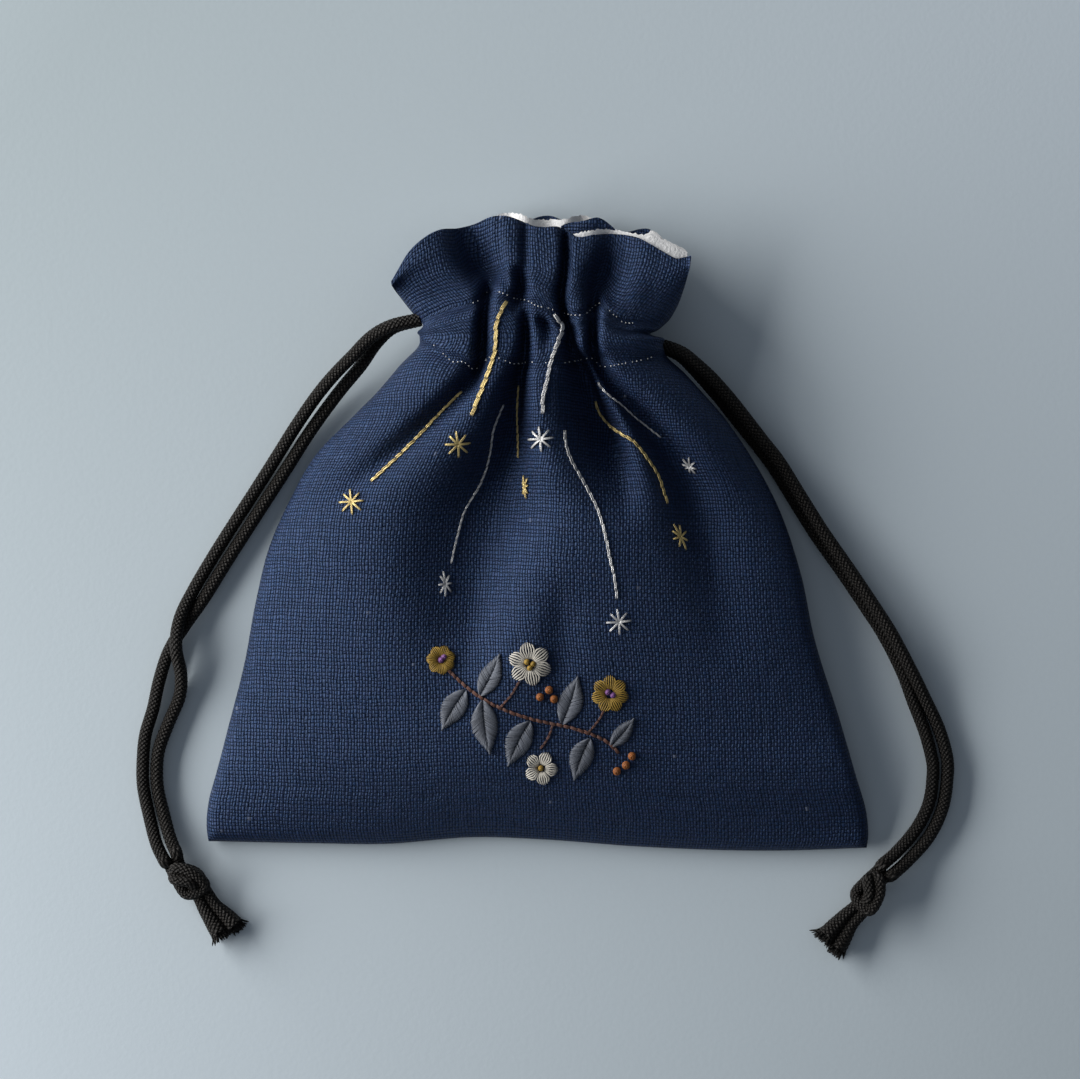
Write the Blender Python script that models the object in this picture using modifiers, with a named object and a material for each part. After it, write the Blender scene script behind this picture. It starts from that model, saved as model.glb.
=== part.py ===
"""A kinchaku pouch: a lined linen bag lying on its back, gathered at the neck by two drawcords.

Metres. +X is to the right of the bag, +Y runs from the bottom seam to the mouth, +Z is up.
The origin is at the centre of the bag's underside.
"""

import math

import bmesh
import bpy
import numpy as np
from mathutils import Vector

# Bag, as it lies
BAG_WIDTH = 0.180
BAG_LENGTH = 0.1745
BODY_THICKNESS = 0.024
NECK_WIDTH = 0.066
NECK_THICKNESS = 0.023
CASING_HEIGHT = 0.016
FRILL_HEIGHT = 0.025
FRILL_WIDTH = 0.082
FRILL_THICKNESS = 0.0177
FRILL_CORNER_DROP = 0.013
FRILL_WAVE = 0.0022
FRILL_WAVES = 3
FRILL_SPREAD_POWER = 0.8

# Cloth
LINEN_THICKNESS = 0.0008
LINING_THICKNESS = 0.0010
CLOTH_GAP = 0.00045
FRILL_CLOTH_GAP = 0.0013
FRILL_GAP_EASE = 0.5
SEAM_GAP = 0.0003
SEAM_TURN = 0.0018
LINING_INSET = 0.0022
CHANNEL_INSET_SHARE = 0.7

# Cords
CORD_DIAMETER = 0.0035
CORD_ROOM = 0.0008
CORD_SPACING = 0.0029
CORD_EDGE_ROOM = 0.00055
STRAND_GAP = 0.0004
KNOT_GAP = 0.0006
KNOT_LENGTH = 0.0136
KNOT_WIDTH = 0.0104
KNOT_HEIGHT = 0.0084
TAIL_LENGTH = 0.0110
TAIL_TIP_DIAMETER = 0.0064
TAIL_SPREAD = math.radians(13)
TAIL_WIDENING_SHARE = 0.4
LOOP_LEAN = math.radians(35)

# Lowest point of each free strand's section, from the casing's end to the knot
LEFT_FRONT_STRAND = (
    (-0.0392, 0.0557, 0.0111),
    (-0.0448, 0.0527, 0.0092),
    (-0.0500, 0.0476, 0.0070),
    (-0.0553, 0.0423, 0.0049),
    (-0.0601, 0.0366, 0.0030),
    (-0.0657, 0.0286, 0.0013),
    (-0.0709, 0.0204, 0.0004),
    (-0.0763, 0.0119, 0.0001),
    (-0.0821, 0.0029, 0.0001),
    (-0.0881, -0.0066, 0.0001),
    (-0.0936, -0.0160, 0.0002),
    (-0.0971, -0.0236, 0.0020),
    (-0.0980, -0.0312, 0.0038),
    (-0.0968, -0.0388, 0.0018),
    (-0.0974, -0.0450, 0.0002),
    (-0.1003, -0.0520, 0.0001),
    (-0.1031, -0.0600, 0.0001),
    (-0.1034, -0.0688, 0.0001),
    (-0.1018, -0.0762, 0.0001),
    (-0.0999, -0.0830, 0.0010),
    (-0.0980, -0.0874, 0.0022),
)
LEFT_BACK_STRAND = (
    (-0.0388, 0.0553, 0.0072),
    (-0.0435, 0.0512, 0.0054),
    (-0.0478, 0.0452, 0.0036),
    (-0.0525, 0.0397, 0.0021),
    (-0.0569, 0.0341, 0.0010),
    (-0.0624, 0.0264, 0.0003),
    (-0.0676, 0.0182, 0.0001),
    (-0.0730, 0.0098, 0.0001),
    (-0.0788, 0.0008, 0.0001),
    (-0.0848, -0.0086, 0.0001),
    (-0.0905, -0.0178, 0.0001),
    (-0.0957, -0.0252, 0.0001),
    (-0.1001, -0.0322, 0.0001),
    (-0.1028, -0.0402, 0.0001),
    (-0.1045, -0.0480, 0.0001),
    (-0.1066, -0.0552, 0.0001),
    (-0.1073, -0.0621, 0.0001),
    (-0.1072, -0.0692, 0.0001),
    (-0.1056, -0.0772, 0.0001),
    (-0.1035, -0.0849, 0.0010),
    (-0.1010, -0.0898, 0.0022),
)
RIGHT_FRONT_STRAND = (
    (0.0385, 0.0487, 0.0110),
    (0.0428, 0.0456, 0.0097),
    (0.0472, 0.0417, 0.0079),
    (0.0513, 0.0373, 0.0062),
    (0.0552, 0.0326, 0.0049),
    (0.0613, 0.0248, 0.0037),
    (0.0660, 0.0188, 0.0034),
    (0.0717, 0.0096, 0.0033),
    (0.0779, -0.0002, 0.0033),
    (0.0846, -0.0098, 0.0033),
    (0.0904, -0.0184, 0.0033),
    (0.0962, -0.0274, 0.0032),
    (0.1017, -0.0376, 0.0024),
    (0.1058, -0.0458, 0.0009),
    (0.1094, -0.0535, 0.0001),
    (0.1116, -0.0612, 0.0001),
    (0.1117, -0.0672, 0.0001),
    (0.1104, -0.0752, 0.0001),
    (0.1067, -0.0830, 0.0001),
    (0.1008, -0.0896, 0.0007),
    (0.0963, -0.0934, 0.0022),
)
RIGHT_BACK_STRAND = (
    (0.0383, 0.0480, 0.0070),
    (0.0423, 0.0444, 0.0056),
    (0.0461, 0.0403, 0.0039),
    (0.0499, 0.0360, 0.0024),
    (0.0537, 0.0313, 0.0013),
    (0.0599, 0.0236, 0.0003),
    (0.0644, 0.0176, 0.0001),
    (0.0700, 0.0086, 0.0001),
    (0.0761, -0.0011, 0.0001),
    (0.0829, -0.0107, 0.0001),
    (0.0887, -0.0193, 0.0001),
    (0.0944, -0.0281, 0.0001),
    (0.0994, -0.0380, 0.0001),
    (0.1026, -0.0466, 0.0001),
    (0.1057, -0.0547, 0.0001),
    (0.1076, -0.0621, 0.0001),
    (0.1078, -0.0665, 0.0001),
    (0.1067, -0.0739, 0.0001),
    (0.1033, -0.0808, 0.0001),
    (0.0982, -0.0868, 0.0007),
    (0.0938, -0.0905, 0.0022),
)
LEFT_KNOT_HEADING = math.radians(-52)
RIGHT_KNOT_HEADING = math.radians(-127)

# Shares of the way from the bottom seam to the casing, and of the change from bag to neck width
SIDE_OUTLINE = (
    (0.0, 1.0),
    (0.07, 1.0),
    (0.25, 0.89),
    (0.42, 0.78),
    (0.55, 0.72),
    (0.65, 0.645),
    (0.72, 0.58),
    (0.83, 0.42),
    (0.89, 0.31),
    (0.94, 0.18),
    (1.0, 0.0),
)
# Shares of the same way, and of the height that the empty bag stands open
CREST_OUTLINE = (
    (0.0, 0.0),
    (0.08, 0.12),
    (0.25, 0.36),
    (0.45, 0.64),
    (0.65, 0.88),
    (0.80, 1.0),
    (0.92, 1.0),
    (1.0, 0.93),
)
SEAM_RISE_START = 0.72
NECK_SHAPE_START = 0.6
BODY_ROUNDNESS = 1.6
NECK_ROUNDNESS = 0.8

# Mesh
PANEL_COLUMNS = 24
BODY_ROWS = 12
FRILL_ROWS = 4
LOOP_POINTS = 15
CURVE_STEPS = 12
CORD_BEVELS = 2
KNOT_COLUMNS = 16
KNOT_ROWS = 10
STRAND_STEP = 0.0082
TURN_STEP = 0.0026
TURN_REACH = 0.013
HEM_ROW_SHARE = 0.3
FIRST_BODY_ROW = 0.006
MERGE_DISTANCE = 0.00001

BOTTOM = -BAG_LENGTH / 2
TOP = BAG_LENGTH / 2
CASING_TOP = TOP - FRILL_HEIGHT
CASING_BOTTOM = CASING_TOP - CASING_HEIGHT
CASING_MIDDLE = (CASING_TOP + CASING_BOTTOM) / 2
SEAM_STACK = CLOTH_GAP + LINING_THICKNESS + SEAM_GAP
BODY_SEAM_Z = LINEN_THICKNESS + SEAM_STACK
NECK_SEAM_Z = NECK_THICKNESS / 2
CHANNEL = CORD_DIAMETER + 2 * CORD_ROOM
SLIT = CORD_DIAMETER + STRAND_GAP + CORD_ROOM
CORD_PITCH = CORD_DIAMETER + CORD_SPACING
TUNNEL_LIP = (CASING_HEIGHT - CORD_PITCH - CORD_DIAMETER) / 2 - CORD_EDGE_ROOM


def smooth(share):
    """0 to 1 with level ends, for a share of the way."""
    share = min(max(share, 0.0), 1.0)
    return share * share * (3 - 2 * share)


def blend(first, last, share):
    return first + (last - first) * share


def along(outline, share):
    """The value of a smooth curve through an outline's points."""
    places = [point[0] for point in outline]
    values = [point[1] for point in outline]
    slopes = np.gradient(values, places)
    share = min(max(share, places[0]), places[-1])
    index = min(int(np.searchsorted(places, share, side="right")), len(places) - 1)
    start, end = places[index - 1], places[index]
    width = end - start
    t = (share - start) / width
    rise = values[index - 1] * (1 - smooth(t)) + values[index] * smooth(t)
    lead = slopes[index - 1] * t * (1 - t) ** 2 - slopes[index] * t * t * (1 - t)
    return rise + lead * width


def body_share(y):
    return (y - BOTTOM) / (CASING_BOTTOM - BOTTOM)


def frill_share(y):
    return min(max((y - CASING_TOP) / FRILL_HEIGHT, 0.0), 1.0)


def seam_rise(y):
    """0 where the seam lies near the ground, 1 where the neck has lifted it."""
    return smooth((body_share(y) - SEAM_RISE_START) / (1 - SEAM_RISE_START))


def half_width(y):
    gathered = blend(NECK_WIDTH, BAG_WIDTH, along(SIDE_OUTLINE, body_share(y))) / 2
    return gathered + (FRILL_WIDTH - NECK_WIDTH) / 2 * frill_share(y) ** FRILL_SPREAD_POWER


def seam_height(y):
    return blend(BODY_SEAM_Z, NECK_SEAM_Z, seam_rise(y))


def roundness(y):
    share = smooth((body_share(y) - NECK_SHAPE_START) / (1 - NECK_SHAPE_START))
    return blend(BODY_ROUNDNESS, NECK_ROUNDNESS, share)


def tunnel(y):
    """1 inside the casing, 0 outside its two stitch rows."""
    return smooth((CASING_HEIGHT / 2 - abs(y - CASING_MIDDLE)) / TUNNEL_LIP)


def crest_height(y):
    """Height of the front linen's inner face above the ground, midway across."""
    if y <= CASING_BOTTOM:
        opened = BODY_THICKNESS - LINEN_THICKNESS - BODY_SEAM_Z - SEAM_STACK
        return BODY_SEAM_Z + SEAM_STACK + opened * along(CREST_OUTLINE, body_share(y))
    neck = NECK_THICKNESS - LINEN_THICKNESS
    spread = NECK_SEAM_Z + FRILL_THICKNESS / 2 - LINEN_THICKNESS
    return blend(neck, spread, smooth(frill_share(y)))


def trough_height(y):
    """Height of the back linen's inner face above the ground, midway across."""
    lifted = NECK_SEAM_Z - FRILL_THICKNESS / 2 + LINEN_THICKNESS
    return blend(LINEN_THICKNESS, lifted, smooth(frill_share(y)))


def turned_edge(distance):
    """Quarter circle in which the linen turns in at a seam."""
    share = min(max(distance / SEAM_TURN, 0.0), 1.0)
    return math.sqrt(1 - (1 - share) ** 2)


def wave(angle, y):
    """Height of the frill's soft folds, none at the side seams."""
    across = -math.cos(angle)
    swing = math.cos(math.pi * FRILL_WAVES * across) * math.sqrt(math.sin(angle))
    return FRILL_WAVE * smooth(frill_share(y)) * swing


def linen_point(side, angle, y):
    """A point of the linen's inner face. side is 1 on the front and -1 on the back."""
    half = half_width(y)
    x = -half * math.cos(angle)
    stack = blend(SEAM_STACK, SEAM_GAP, seam_rise(y))
    open_end = blend(stack, SLIT, tunnel(y))
    turned = turned_edge(half - abs(x)) * turned_edge(y - BOTTOM)
    middle = crest_height(y) if side > 0 else trough_height(y)
    bulge = abs(middle - seam_height(y)) - open_end
    edge = blend(SEAM_GAP / 2, stack, turned) + (open_end - stack)
    z = seam_height(y) + side * (edge + bulge * math.sin(angle) ** roundness(y)) + wave(angle, y)
    return x, y, z


def lining_point(side, angle, y):
    """A point of the lining's outer face, which leaves the cord channel free inside the casing."""
    channel = CHANNEL * tunnel(y)
    eased = smooth(frill_share(y) / FRILL_GAP_EASE)
    gap = blend(CLOTH_GAP, FRILL_CLOTH_GAP, eased)
    inset = blend(LINING_INSET, CLOTH_GAP, eased)
    half = half_width(y) - inset - channel * CHANNEL_INSET_SHARE
    x = -half * math.cos(angle)
    edge = blend(SEAM_STACK - CLOTH_GAP, LINING_THICKNESS / 2 + SEAM_GAP, seam_rise(y))
    middle = crest_height(y) if side > 0 else trough_height(y)
    bulge = abs(middle - seam_height(y)) - gap - channel - edge
    z = seam_height(y) + side * (edge + bulge * math.sin(angle) ** roundness(y)) + wave(angle, y)
    return x, y, z


def rows_from(start, turned):
    """The panel's rows along Y, closer together at a turned hem and across the casing."""
    rows = [start]
    if turned:
        rows += [start + SEAM_TURN * HEM_ROW_SHARE, start + SEAM_TURN]
    first = BOTTOM + FIRST_BODY_ROW
    rows += [blend(first, CASING_BOTTOM, i / BODY_ROWS) for i in range(BODY_ROWS + 1)]
    rows += [CASING_BOTTOM + TUNNEL_LIP / 2, CASING_BOTTOM + TUNNEL_LIP, CASING_MIDDLE]
    rows += [CASING_TOP - TUNNEL_LIP, CASING_TOP - TUNNEL_LIP / 2]
    rows += [blend(CASING_TOP, TOP, i / FRILL_ROWS) for i in range(FRILL_ROWS + 1)]
    return rows


def fanned(x, y):
    """The frill's top edge falls away towards its corners."""
    across = min(abs(x) / half_width(y), 1.0)
    return y - FRILL_CORNER_DROP * across**3 * frill_share(y)


def panel(name, surface, side, rows, thickness, outward, material):
    """One cloth panel: a grid laid on a face of the bag, and given its thickness."""
    bm = bmesh.new()
    bmesh.ops.create_grid(bm, x_segments=PANEL_COLUMNS, y_segments=len(rows) - 1, size=1.0)
    for vertex in bm.verts:
        angle = math.pi * (vertex.co.x + 1) / 2
        row = rows[round((vertex.co.y + 1) / 2 * (len(rows) - 1))]
        x, y, z = surface(side, angle, row)
        vertex.co = Vector((x, fanned(x, y), z))
    mesh = bpy.data.meshes.new(name)
    bm.to_mesh(mesh)
    bm.free()
    mesh.shade_smooth()
    panel_object = bpy.data.objects.new(name, mesh)
    thicken = panel_object.modifiers.new("cloth", "SOLIDIFY")
    thicken.thickness = thickness
    thicken.offset = side * outward
    mesh.materials.append(material)
    return panel_object


def loop_point(angle, y):
    """The cord's centre in its channel: 0 at the left end, pi at the right, back along the back."""
    half = half_width(y) - CHANNEL / 2
    bulge = NECK_SEAM_Z - LINEN_THICKNESS - CHANNEL / 2
    height = math.copysign(abs(math.sin(angle)) ** NECK_ROUNDNESS, math.sin(angle))
    return -half * math.cos(angle), y, NECK_SEAM_Z + bulge * height


def smooth_curve(points):
    """Close points of a smooth curve through the given ones."""
    points = [Vector(point) for point in points]
    padded = [2 * points[0] - points[1], *points, 2 * points[-1] - points[-2]]
    found = [points[0]]
    for before, start, end, after in zip(padded, padded[1:], padded[2:], padded[3:]):
        for step in range(1, CURVE_STEPS + 1):
            t = step / CURVE_STEPS
            leaving, arriving = (end - before) / 2, (after - start) / 2
            lead = leaving * (t * (1 - t) ** 2) - arriving * (t * t * (1 - t))
            found.append(start.lerp(end, smooth(t)) + lead)
    return found


def step_at(point):
    """How far apart a cord's points lie: closer where it turns round the casing's ends."""
    turning = abs(abs(point.x) - NECK_WIDTH / 2) < TURN_REACH and point.y > CASING_BOTTOM
    return TURN_STEP if turning else STRAND_STEP


def read_along(curve):
    """Points read from a close curve at the spacing that each stretch needs."""
    found = [curve[0]]
    gone = 0.0
    for before, after in zip(curve, curve[1:]):
        gone += (after - before).length
        if gone >= step_at(after):
            found.append(after)
            gone = 0.0
    if (curve[-1] - found[-1]).length < TURN_STEP:
        found.pop()
    return [*found, curve[-1]]


def tube(name, points, radii, material):
    """A round cord through the points, with filled ends."""
    curve = bpy.data.curves.new(name, "CURVE")
    curve.dimensions = "3D"
    curve.bevel_depth = 1.0
    curve.bevel_resolution = CORD_BEVELS
    curve.use_fill_caps = True
    spline = curve.splines.new("POLY")
    spline.points.add(len(points) - 1)
    for target, point, radius in zip(spline.points, points, radii):
        target.co = (*point, 1.0)
        target.radius = radius
    curve.materials.append(material)
    return bpy.data.objects.new(name, curve)


def lifted(strand):
    return [(x, y, z + CORD_DIAMETER / 2) for x, y, z in strand]


def drawcord(name, hand, front_strand, back_strand, material):
    """One cord: in from its front strand, round the casing, and out along its back strand."""
    y = CASING_MIDDLE - hand * CORD_PITCH / 2
    turn = 2 * math.pi - LOOP_LEAN
    angles = [blend(LOOP_LEAN, turn, i / (LOOP_POINTS - 1)) for i in range(LOOP_POINTS)]
    loop = [loop_point(angle, y) for angle in angles]
    if hand > 0:
        loop = [(-x, place, z) for x, place, z in loop]
    half_step = (CORD_DIAMETER + STRAND_GAP) / 2
    mouth = hand * (NECK_WIDTH / 2 + LINEN_THICKNESS / 2)
    front_mouth = (mouth, y, NECK_SEAM_Z + half_step)
    back_mouth = (mouth, y, NECK_SEAM_Z - half_step)
    route = [*reversed(lifted(front_strand)), front_mouth, *loop, back_mouth, *lifted(back_strand)]
    points = read_along(smooth_curve(route))
    return tube(name, points, [CORD_DIAMETER / 2] * len(points), material)


def as_mesh(source):
    """The object's evaluated shape as a closed mesh, in place of the object."""
    bpy.context.view_layer.update()
    evaluated = source.evaluated_get(bpy.context.evaluated_depsgraph_get())
    mesh = bpy.data.meshes.new_from_object(evaluated)
    bm = bmesh.new()
    bm.from_mesh(mesh)
    bmesh.ops.remove_doubles(bm, verts=bm.verts, dist=MERGE_DISTANCE)
    bm.to_mesh(mesh)
    bm.free()
    solid = bpy.data.objects.new(source.name, mesh)
    solid.matrix_world = source.matrix_world
    bpy.data.objects.remove(source)
    return solid


def knot(name, heading, front_strand, back_strand, parts, cutters, material):
    """The knot that ties a cord's two ends, with the two frayed tails beyond it."""
    ahead = Vector((math.cos(heading), math.sin(heading), 0.0))
    ends = (Vector(front_strand[-1]) + Vector(back_strand[-1])) / 2
    centre = ends + ahead * (KNOT_LENGTH / 2 + KNOT_GAP)
    centre.z = KNOT_HEIGHT / 2
    bm = bmesh.new()
    bmesh.ops.create_uvsphere(bm, u_segments=KNOT_COLUMNS, v_segments=KNOT_ROWS, radius=0.5)
    bmesh.ops.scale(bm, vec=(KNOT_LENGTH, KNOT_WIDTH, KNOT_HEIGHT), verts=bm.verts)
    mesh = bpy.data.meshes.new(name)
    bm.to_mesh(mesh)
    bm.free()
    mesh.shade_smooth()
    mesh.materials.append(material)
    body = bpy.data.objects.new(name, mesh)
    body.location = centre
    body.rotation_euler = (0.0, 0.0, heading)
    parts.objects.link(body)
    for turn in (-1, 1):
        aside = heading + turn * TAIL_SPREAD
        way = Vector((math.cos(aside), math.sin(aside), 0.0))
        start = centre + ahead.cross(Vector((0, 0, -turn))) * (CORD_DIAMETER / 2)
        tip = start + way * (KNOT_LENGTH / 2 + TAIL_LENGTH)
        start.z = KNOT_HEIGHT / 2
        tip.z = TAIL_TIP_DIAMETER / 2
        radii = (CORD_DIAMETER / 2, CORD_DIAMETER / 2, TAIL_TIP_DIAMETER / 2)
        points = (start, start.lerp(tip, TAIL_WIDENING_SHARE), tip)
        source = tube(f"{name}_tail_{turn}", points, radii, material)
        parts.objects.link(source)
        tail = as_mesh(source)
        cutters.objects.link(tail)
        tail.hide_render = True
        tail.display_type = "WIRE"
        join = body.modifiers.new("tail", "BOOLEAN")
        join.operation = "UNION"
        join.object = tail
    return body


def material_of(name, colour, roughness):
    material = bpy.data.materials.new(name)
    material.use_nodes = True
    shader = material.node_tree.nodes["Principled BSDF"]
    shader.inputs["Base Color"].default_value = (*colour, 1.0)
    shader.inputs["Roughness"].default_value = roughness
    shader.inputs["Metallic"].default_value = 0.0
    return material


def main():
    for existing in list(bpy.data.objects):
        bpy.data.objects.remove(existing)
    parts = bpy.data.collections.new("kinchaku_pouch")
    cutters = bpy.data.collections.new("cutters")
    for collection in (parts, cutters):
        bpy.context.scene.collection.children.link(collection)

    linen_rows = rows_from(BOTTOM, True)
    lining_rows = rows_from(BOTTOM + LINING_INSET, False)
    for side, face in ((1, "front"), (-1, "back")):
        linen = material_of(f"linen_{face}", (0.016, 0.026, 0.070), 0.92)
        brushed = material_of(f"lining_{face}", (0.78, 0.78, 0.76), 0.95)
        parts.objects.link(
            panel(f"outer_{face}", linen_point, side, linen_rows, LINEN_THICKNESS, 1, linen)
        )
        parts.objects.link(
            panel(f"lining_{face}", lining_point, side, lining_rows, LINING_THICKNESS, -1, brushed)
        )

    for hand, word, strands, heading in (
        (-1, "left", (LEFT_FRONT_STRAND, LEFT_BACK_STRAND), LEFT_KNOT_HEADING),
        (1, "right", (RIGHT_FRONT_STRAND, RIGHT_BACK_STRAND), RIGHT_KNOT_HEADING),
    ):
        braid = material_of(f"braid_{word}", (0.012, 0.010, 0.009), 0.75)
        tied = material_of(f"knot_{word}", (0.014, 0.012, 0.010), 0.8)
        parts.objects.link(drawcord(f"drawcord_{word}", hand, *strands, braid))
        knot(f"knot_{word}", heading, *strands, parts, cutters, tied)


main()
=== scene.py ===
"""Looks of the kinchaku pouch: linen, brushed lining, braided cords, embroidery, light and camera.

+Y runs from the bottom seam to the mouth. The cloth's form is worked out in millimetres and becomes
metres as each face is finished. Cords, threads, light and camera are in metres. What lies on the
cloth is placed by pixels of the photograph.
"""

import math

import bpy
import numpy as np
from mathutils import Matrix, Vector
from mathutils.bvhtree import BVHTree


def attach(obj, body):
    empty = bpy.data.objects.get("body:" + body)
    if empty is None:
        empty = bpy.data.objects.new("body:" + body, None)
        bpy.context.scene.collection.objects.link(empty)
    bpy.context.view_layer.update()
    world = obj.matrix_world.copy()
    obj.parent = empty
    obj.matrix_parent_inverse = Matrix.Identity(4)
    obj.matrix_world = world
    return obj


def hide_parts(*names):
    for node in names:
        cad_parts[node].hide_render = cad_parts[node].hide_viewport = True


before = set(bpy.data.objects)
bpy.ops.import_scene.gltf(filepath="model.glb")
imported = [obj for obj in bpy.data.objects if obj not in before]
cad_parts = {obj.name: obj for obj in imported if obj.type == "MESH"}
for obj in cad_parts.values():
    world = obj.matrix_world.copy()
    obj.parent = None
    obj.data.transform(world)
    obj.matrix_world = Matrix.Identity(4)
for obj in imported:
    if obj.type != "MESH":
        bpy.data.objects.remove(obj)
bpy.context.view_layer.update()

MM = 0.001
BAG_WIDTH = 0.180
BAG_WIDTH_PIXELS = 660
PHOTO_PIXEL = BAG_WIDTH / BAG_WIDTH_PIXELS
PHOTO_CENTRE = (537, 532)
FRAME_PIXELS = (1080, 1079)
CAMERA_HEIGHT = 1.2
SENSOR = 36.0

PLAITS = 8
BRAID_SIDES = 36

# In metres
CORD_DIAMETER = 0.0035
CORD_STEP = 0.0003
PLAIT_PITCH = 0.00125
WARP_PITCH = 0.00084
WEFT_PITCH = 0.00100
CASING_MIDDLE = 0.05425
CORD_ASIDE = 0.0032
STRAND_START = 0.0315
STRAND_RISE = 0.0024
RUN_NEAR_END = 0.0305
RUN_FAR_END = 0.0260
RUN_TURN = 0.0026
RUN_RISE = 0.0027
LINING_FLAT = (0.176, 0.172)

# In millimetres
BAG_BOTTOM = -87.2
BAG_TOP = 87.0
LOWER_STITCHES = 47.0
UPPER_STITCHES = 61.0
NECK_ROWS_FROM = 39.0
NECK_MIDDLE_Z = 10.7
LINEN_THICKNESS = 0.7
LINING_THICKNESS = 0.9
LAYER_GAP = 0.06
SEAM_TURN = 2.6
SEAM_GAP = 0.03
CORD_ROOM = 3.8
SLIT = 3.9
FRILL_FLARE = 8.5
BODY_LIFT = 4.4

# Lowest point of each free strand's section, from the casing's end to the knot
LEFT_FRONT_STRAND = (
    (-0.0392, 0.0557, 0.0111), (-0.0448, 0.0527, 0.0092), (-0.0500, 0.0476, 0.0070),
    (-0.0553, 0.0423, 0.0049), (-0.0601, 0.0366, 0.0030), (-0.0657, 0.0286, 0.0013),
    (-0.0709, 0.0204, 0.0004), (-0.0763, 0.0119, 0.0001), (-0.0821, 0.0029, 0.0001),
    (-0.0881, -0.0066, 0.0001), (-0.0936, -0.0160, 0.0002), (-0.0971, -0.0236, 0.0020),
    (-0.0980, -0.0312, 0.0038), (-0.0968, -0.0388, 0.0018), (-0.0974, -0.0450, 0.0002),
    (-0.1003, -0.0520, 0.0001), (-0.1031, -0.0600, 0.0001), (-0.1034, -0.0688, 0.0001),
    (-0.1018, -0.0762, 0.0001), (-0.0999, -0.0830, 0.0010), (-0.0980, -0.0874, 0.0022),
)
LEFT_BACK_STRAND = (
    (-0.0388, 0.0553, 0.0072), (-0.0435, 0.0512, 0.0054), (-0.0478, 0.0452, 0.0036),
    (-0.0525, 0.0397, 0.0021), (-0.0569, 0.0341, 0.0010), (-0.0624, 0.0264, 0.0003),
    (-0.0676, 0.0182, 0.0001), (-0.0730, 0.0098, 0.0001), (-0.0788, 0.0008, 0.0001),
    (-0.0848, -0.0086, 0.0001), (-0.0905, -0.0178, 0.0001), (-0.0957, -0.0252, 0.0001),
    (-0.1001, -0.0322, 0.0001), (-0.1028, -0.0402, 0.0001), (-0.1045, -0.0480, 0.0001),
    (-0.1066, -0.0552, 0.0001), (-0.1073, -0.0621, 0.0001), (-0.1072, -0.0692, 0.0001),
    (-0.1056, -0.0772, 0.0001), (-0.1035, -0.0849, 0.0010), (-0.1010, -0.0898, 0.0022),
)
RIGHT_FRONT_STRAND = (
    (0.0385, 0.0487, 0.0110), (0.0428, 0.0456, 0.0097), (0.0472, 0.0417, 0.0079),
    (0.0513, 0.0373, 0.0062), (0.0552, 0.0326, 0.0049), (0.0613, 0.0248, 0.0037),
    (0.0660, 0.0188, 0.0034), (0.0717, 0.0096, 0.0033), (0.0779, -0.0002, 0.0033),
    (0.0846, -0.0098, 0.0033), (0.0904, -0.0184, 0.0033), (0.0962, -0.0274, 0.0032),
    (0.1017, -0.0376, 0.0024), (0.1058, -0.0458, 0.0009), (0.1094, -0.0535, 0.0001),
    (0.1116, -0.0612, 0.0001), (0.1117, -0.0672, 0.0001), (0.1104, -0.0752, 0.0001),
    (0.1067, -0.0830, 0.0001), (0.1008, -0.0896, 0.0007), (0.0963, -0.0934, 0.0022),
)
RIGHT_BACK_STRAND = (
    (0.0383, 0.0480, 0.0070), (0.0423, 0.0444, 0.0056), (0.0461, 0.0403, 0.0039),
    (0.0499, 0.0360, 0.0024), (0.0537, 0.0313, 0.0013), (0.0599, 0.0236, 0.0003),
    (0.0644, 0.0176, 0.0001), (0.0700, 0.0086, 0.0001), (0.0761, -0.0011, 0.0001),
    (0.0829, -0.0107, 0.0001), (0.0887, -0.0193, 0.0001), (0.0944, -0.0281, 0.0001),
    (0.0994, -0.0380, 0.0001), (0.1026, -0.0466, 0.0001), (0.1057, -0.0547, 0.0001),
    (0.1076, -0.0621, 0.0001), (0.1078, -0.0665, 0.0001), (0.1067, -0.0739, 0.0001),
    (0.1033, -0.0808, 0.0001), (0.0982, -0.0868, 0.0007), (0.0938, -0.0905, 0.0022),
)

rng = np.random.default_rng(7)


def place(px, py):
    """The spot in the frame that a pixel of the photograph shows, in metres."""
    return (px - PHOTO_CENTRE[0]) * PHOTO_PIXEL, (PHOTO_CENTRE[1] - py) * PHOTO_PIXEL


EYE = (*place(FRAME_PIXELS[0] / 2, FRAME_PIXELS[1] / 2), CAMERA_HEIGHT)


def smooth(share):
    """From 0 to 1 with level ends."""
    share = np.clip(share, 0.0, 1.0)
    return share * share * (3 - 2 * share)


def between(value, low, high):
    """0 below low, 1 above high, smooth in between."""
    return smooth((np.asarray(value, float) - low) / (high - low))


def curve_value(points, x):
    """A smooth curve through (x, value) points, held level beyond its ends."""
    xs = np.array([p[0] for p in points], float)
    ys = np.array([p[1] for p in points], float)
    slopes = np.gradient(ys, xs)
    x = np.clip(np.asarray(x, float), xs[0], xs[-1])
    i = np.clip(np.searchsorted(xs, x, side="right") - 1, 0, len(xs) - 2)
    h = xs[i + 1] - xs[i]
    t = (x - xs[i]) / h
    value = ys[i] + (ys[i + 1] - ys[i]) * smooth(t)
    return value + h * (slopes[i] * t * (1 - t) ** 2 - slopes[i + 1] * t * t * (1 - t))


def distances(path):
    """How far along a path each of its points lies."""
    return np.concatenate([[0.0], np.cumsum(np.linalg.norm(np.diff(path, axis=0), axis=1))])


def add_object(name, data):
    obj = bpy.data.objects.new(name, data)
    bpy.context.scene.collection.objects.link(obj)
    return obj


# Materials


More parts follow.
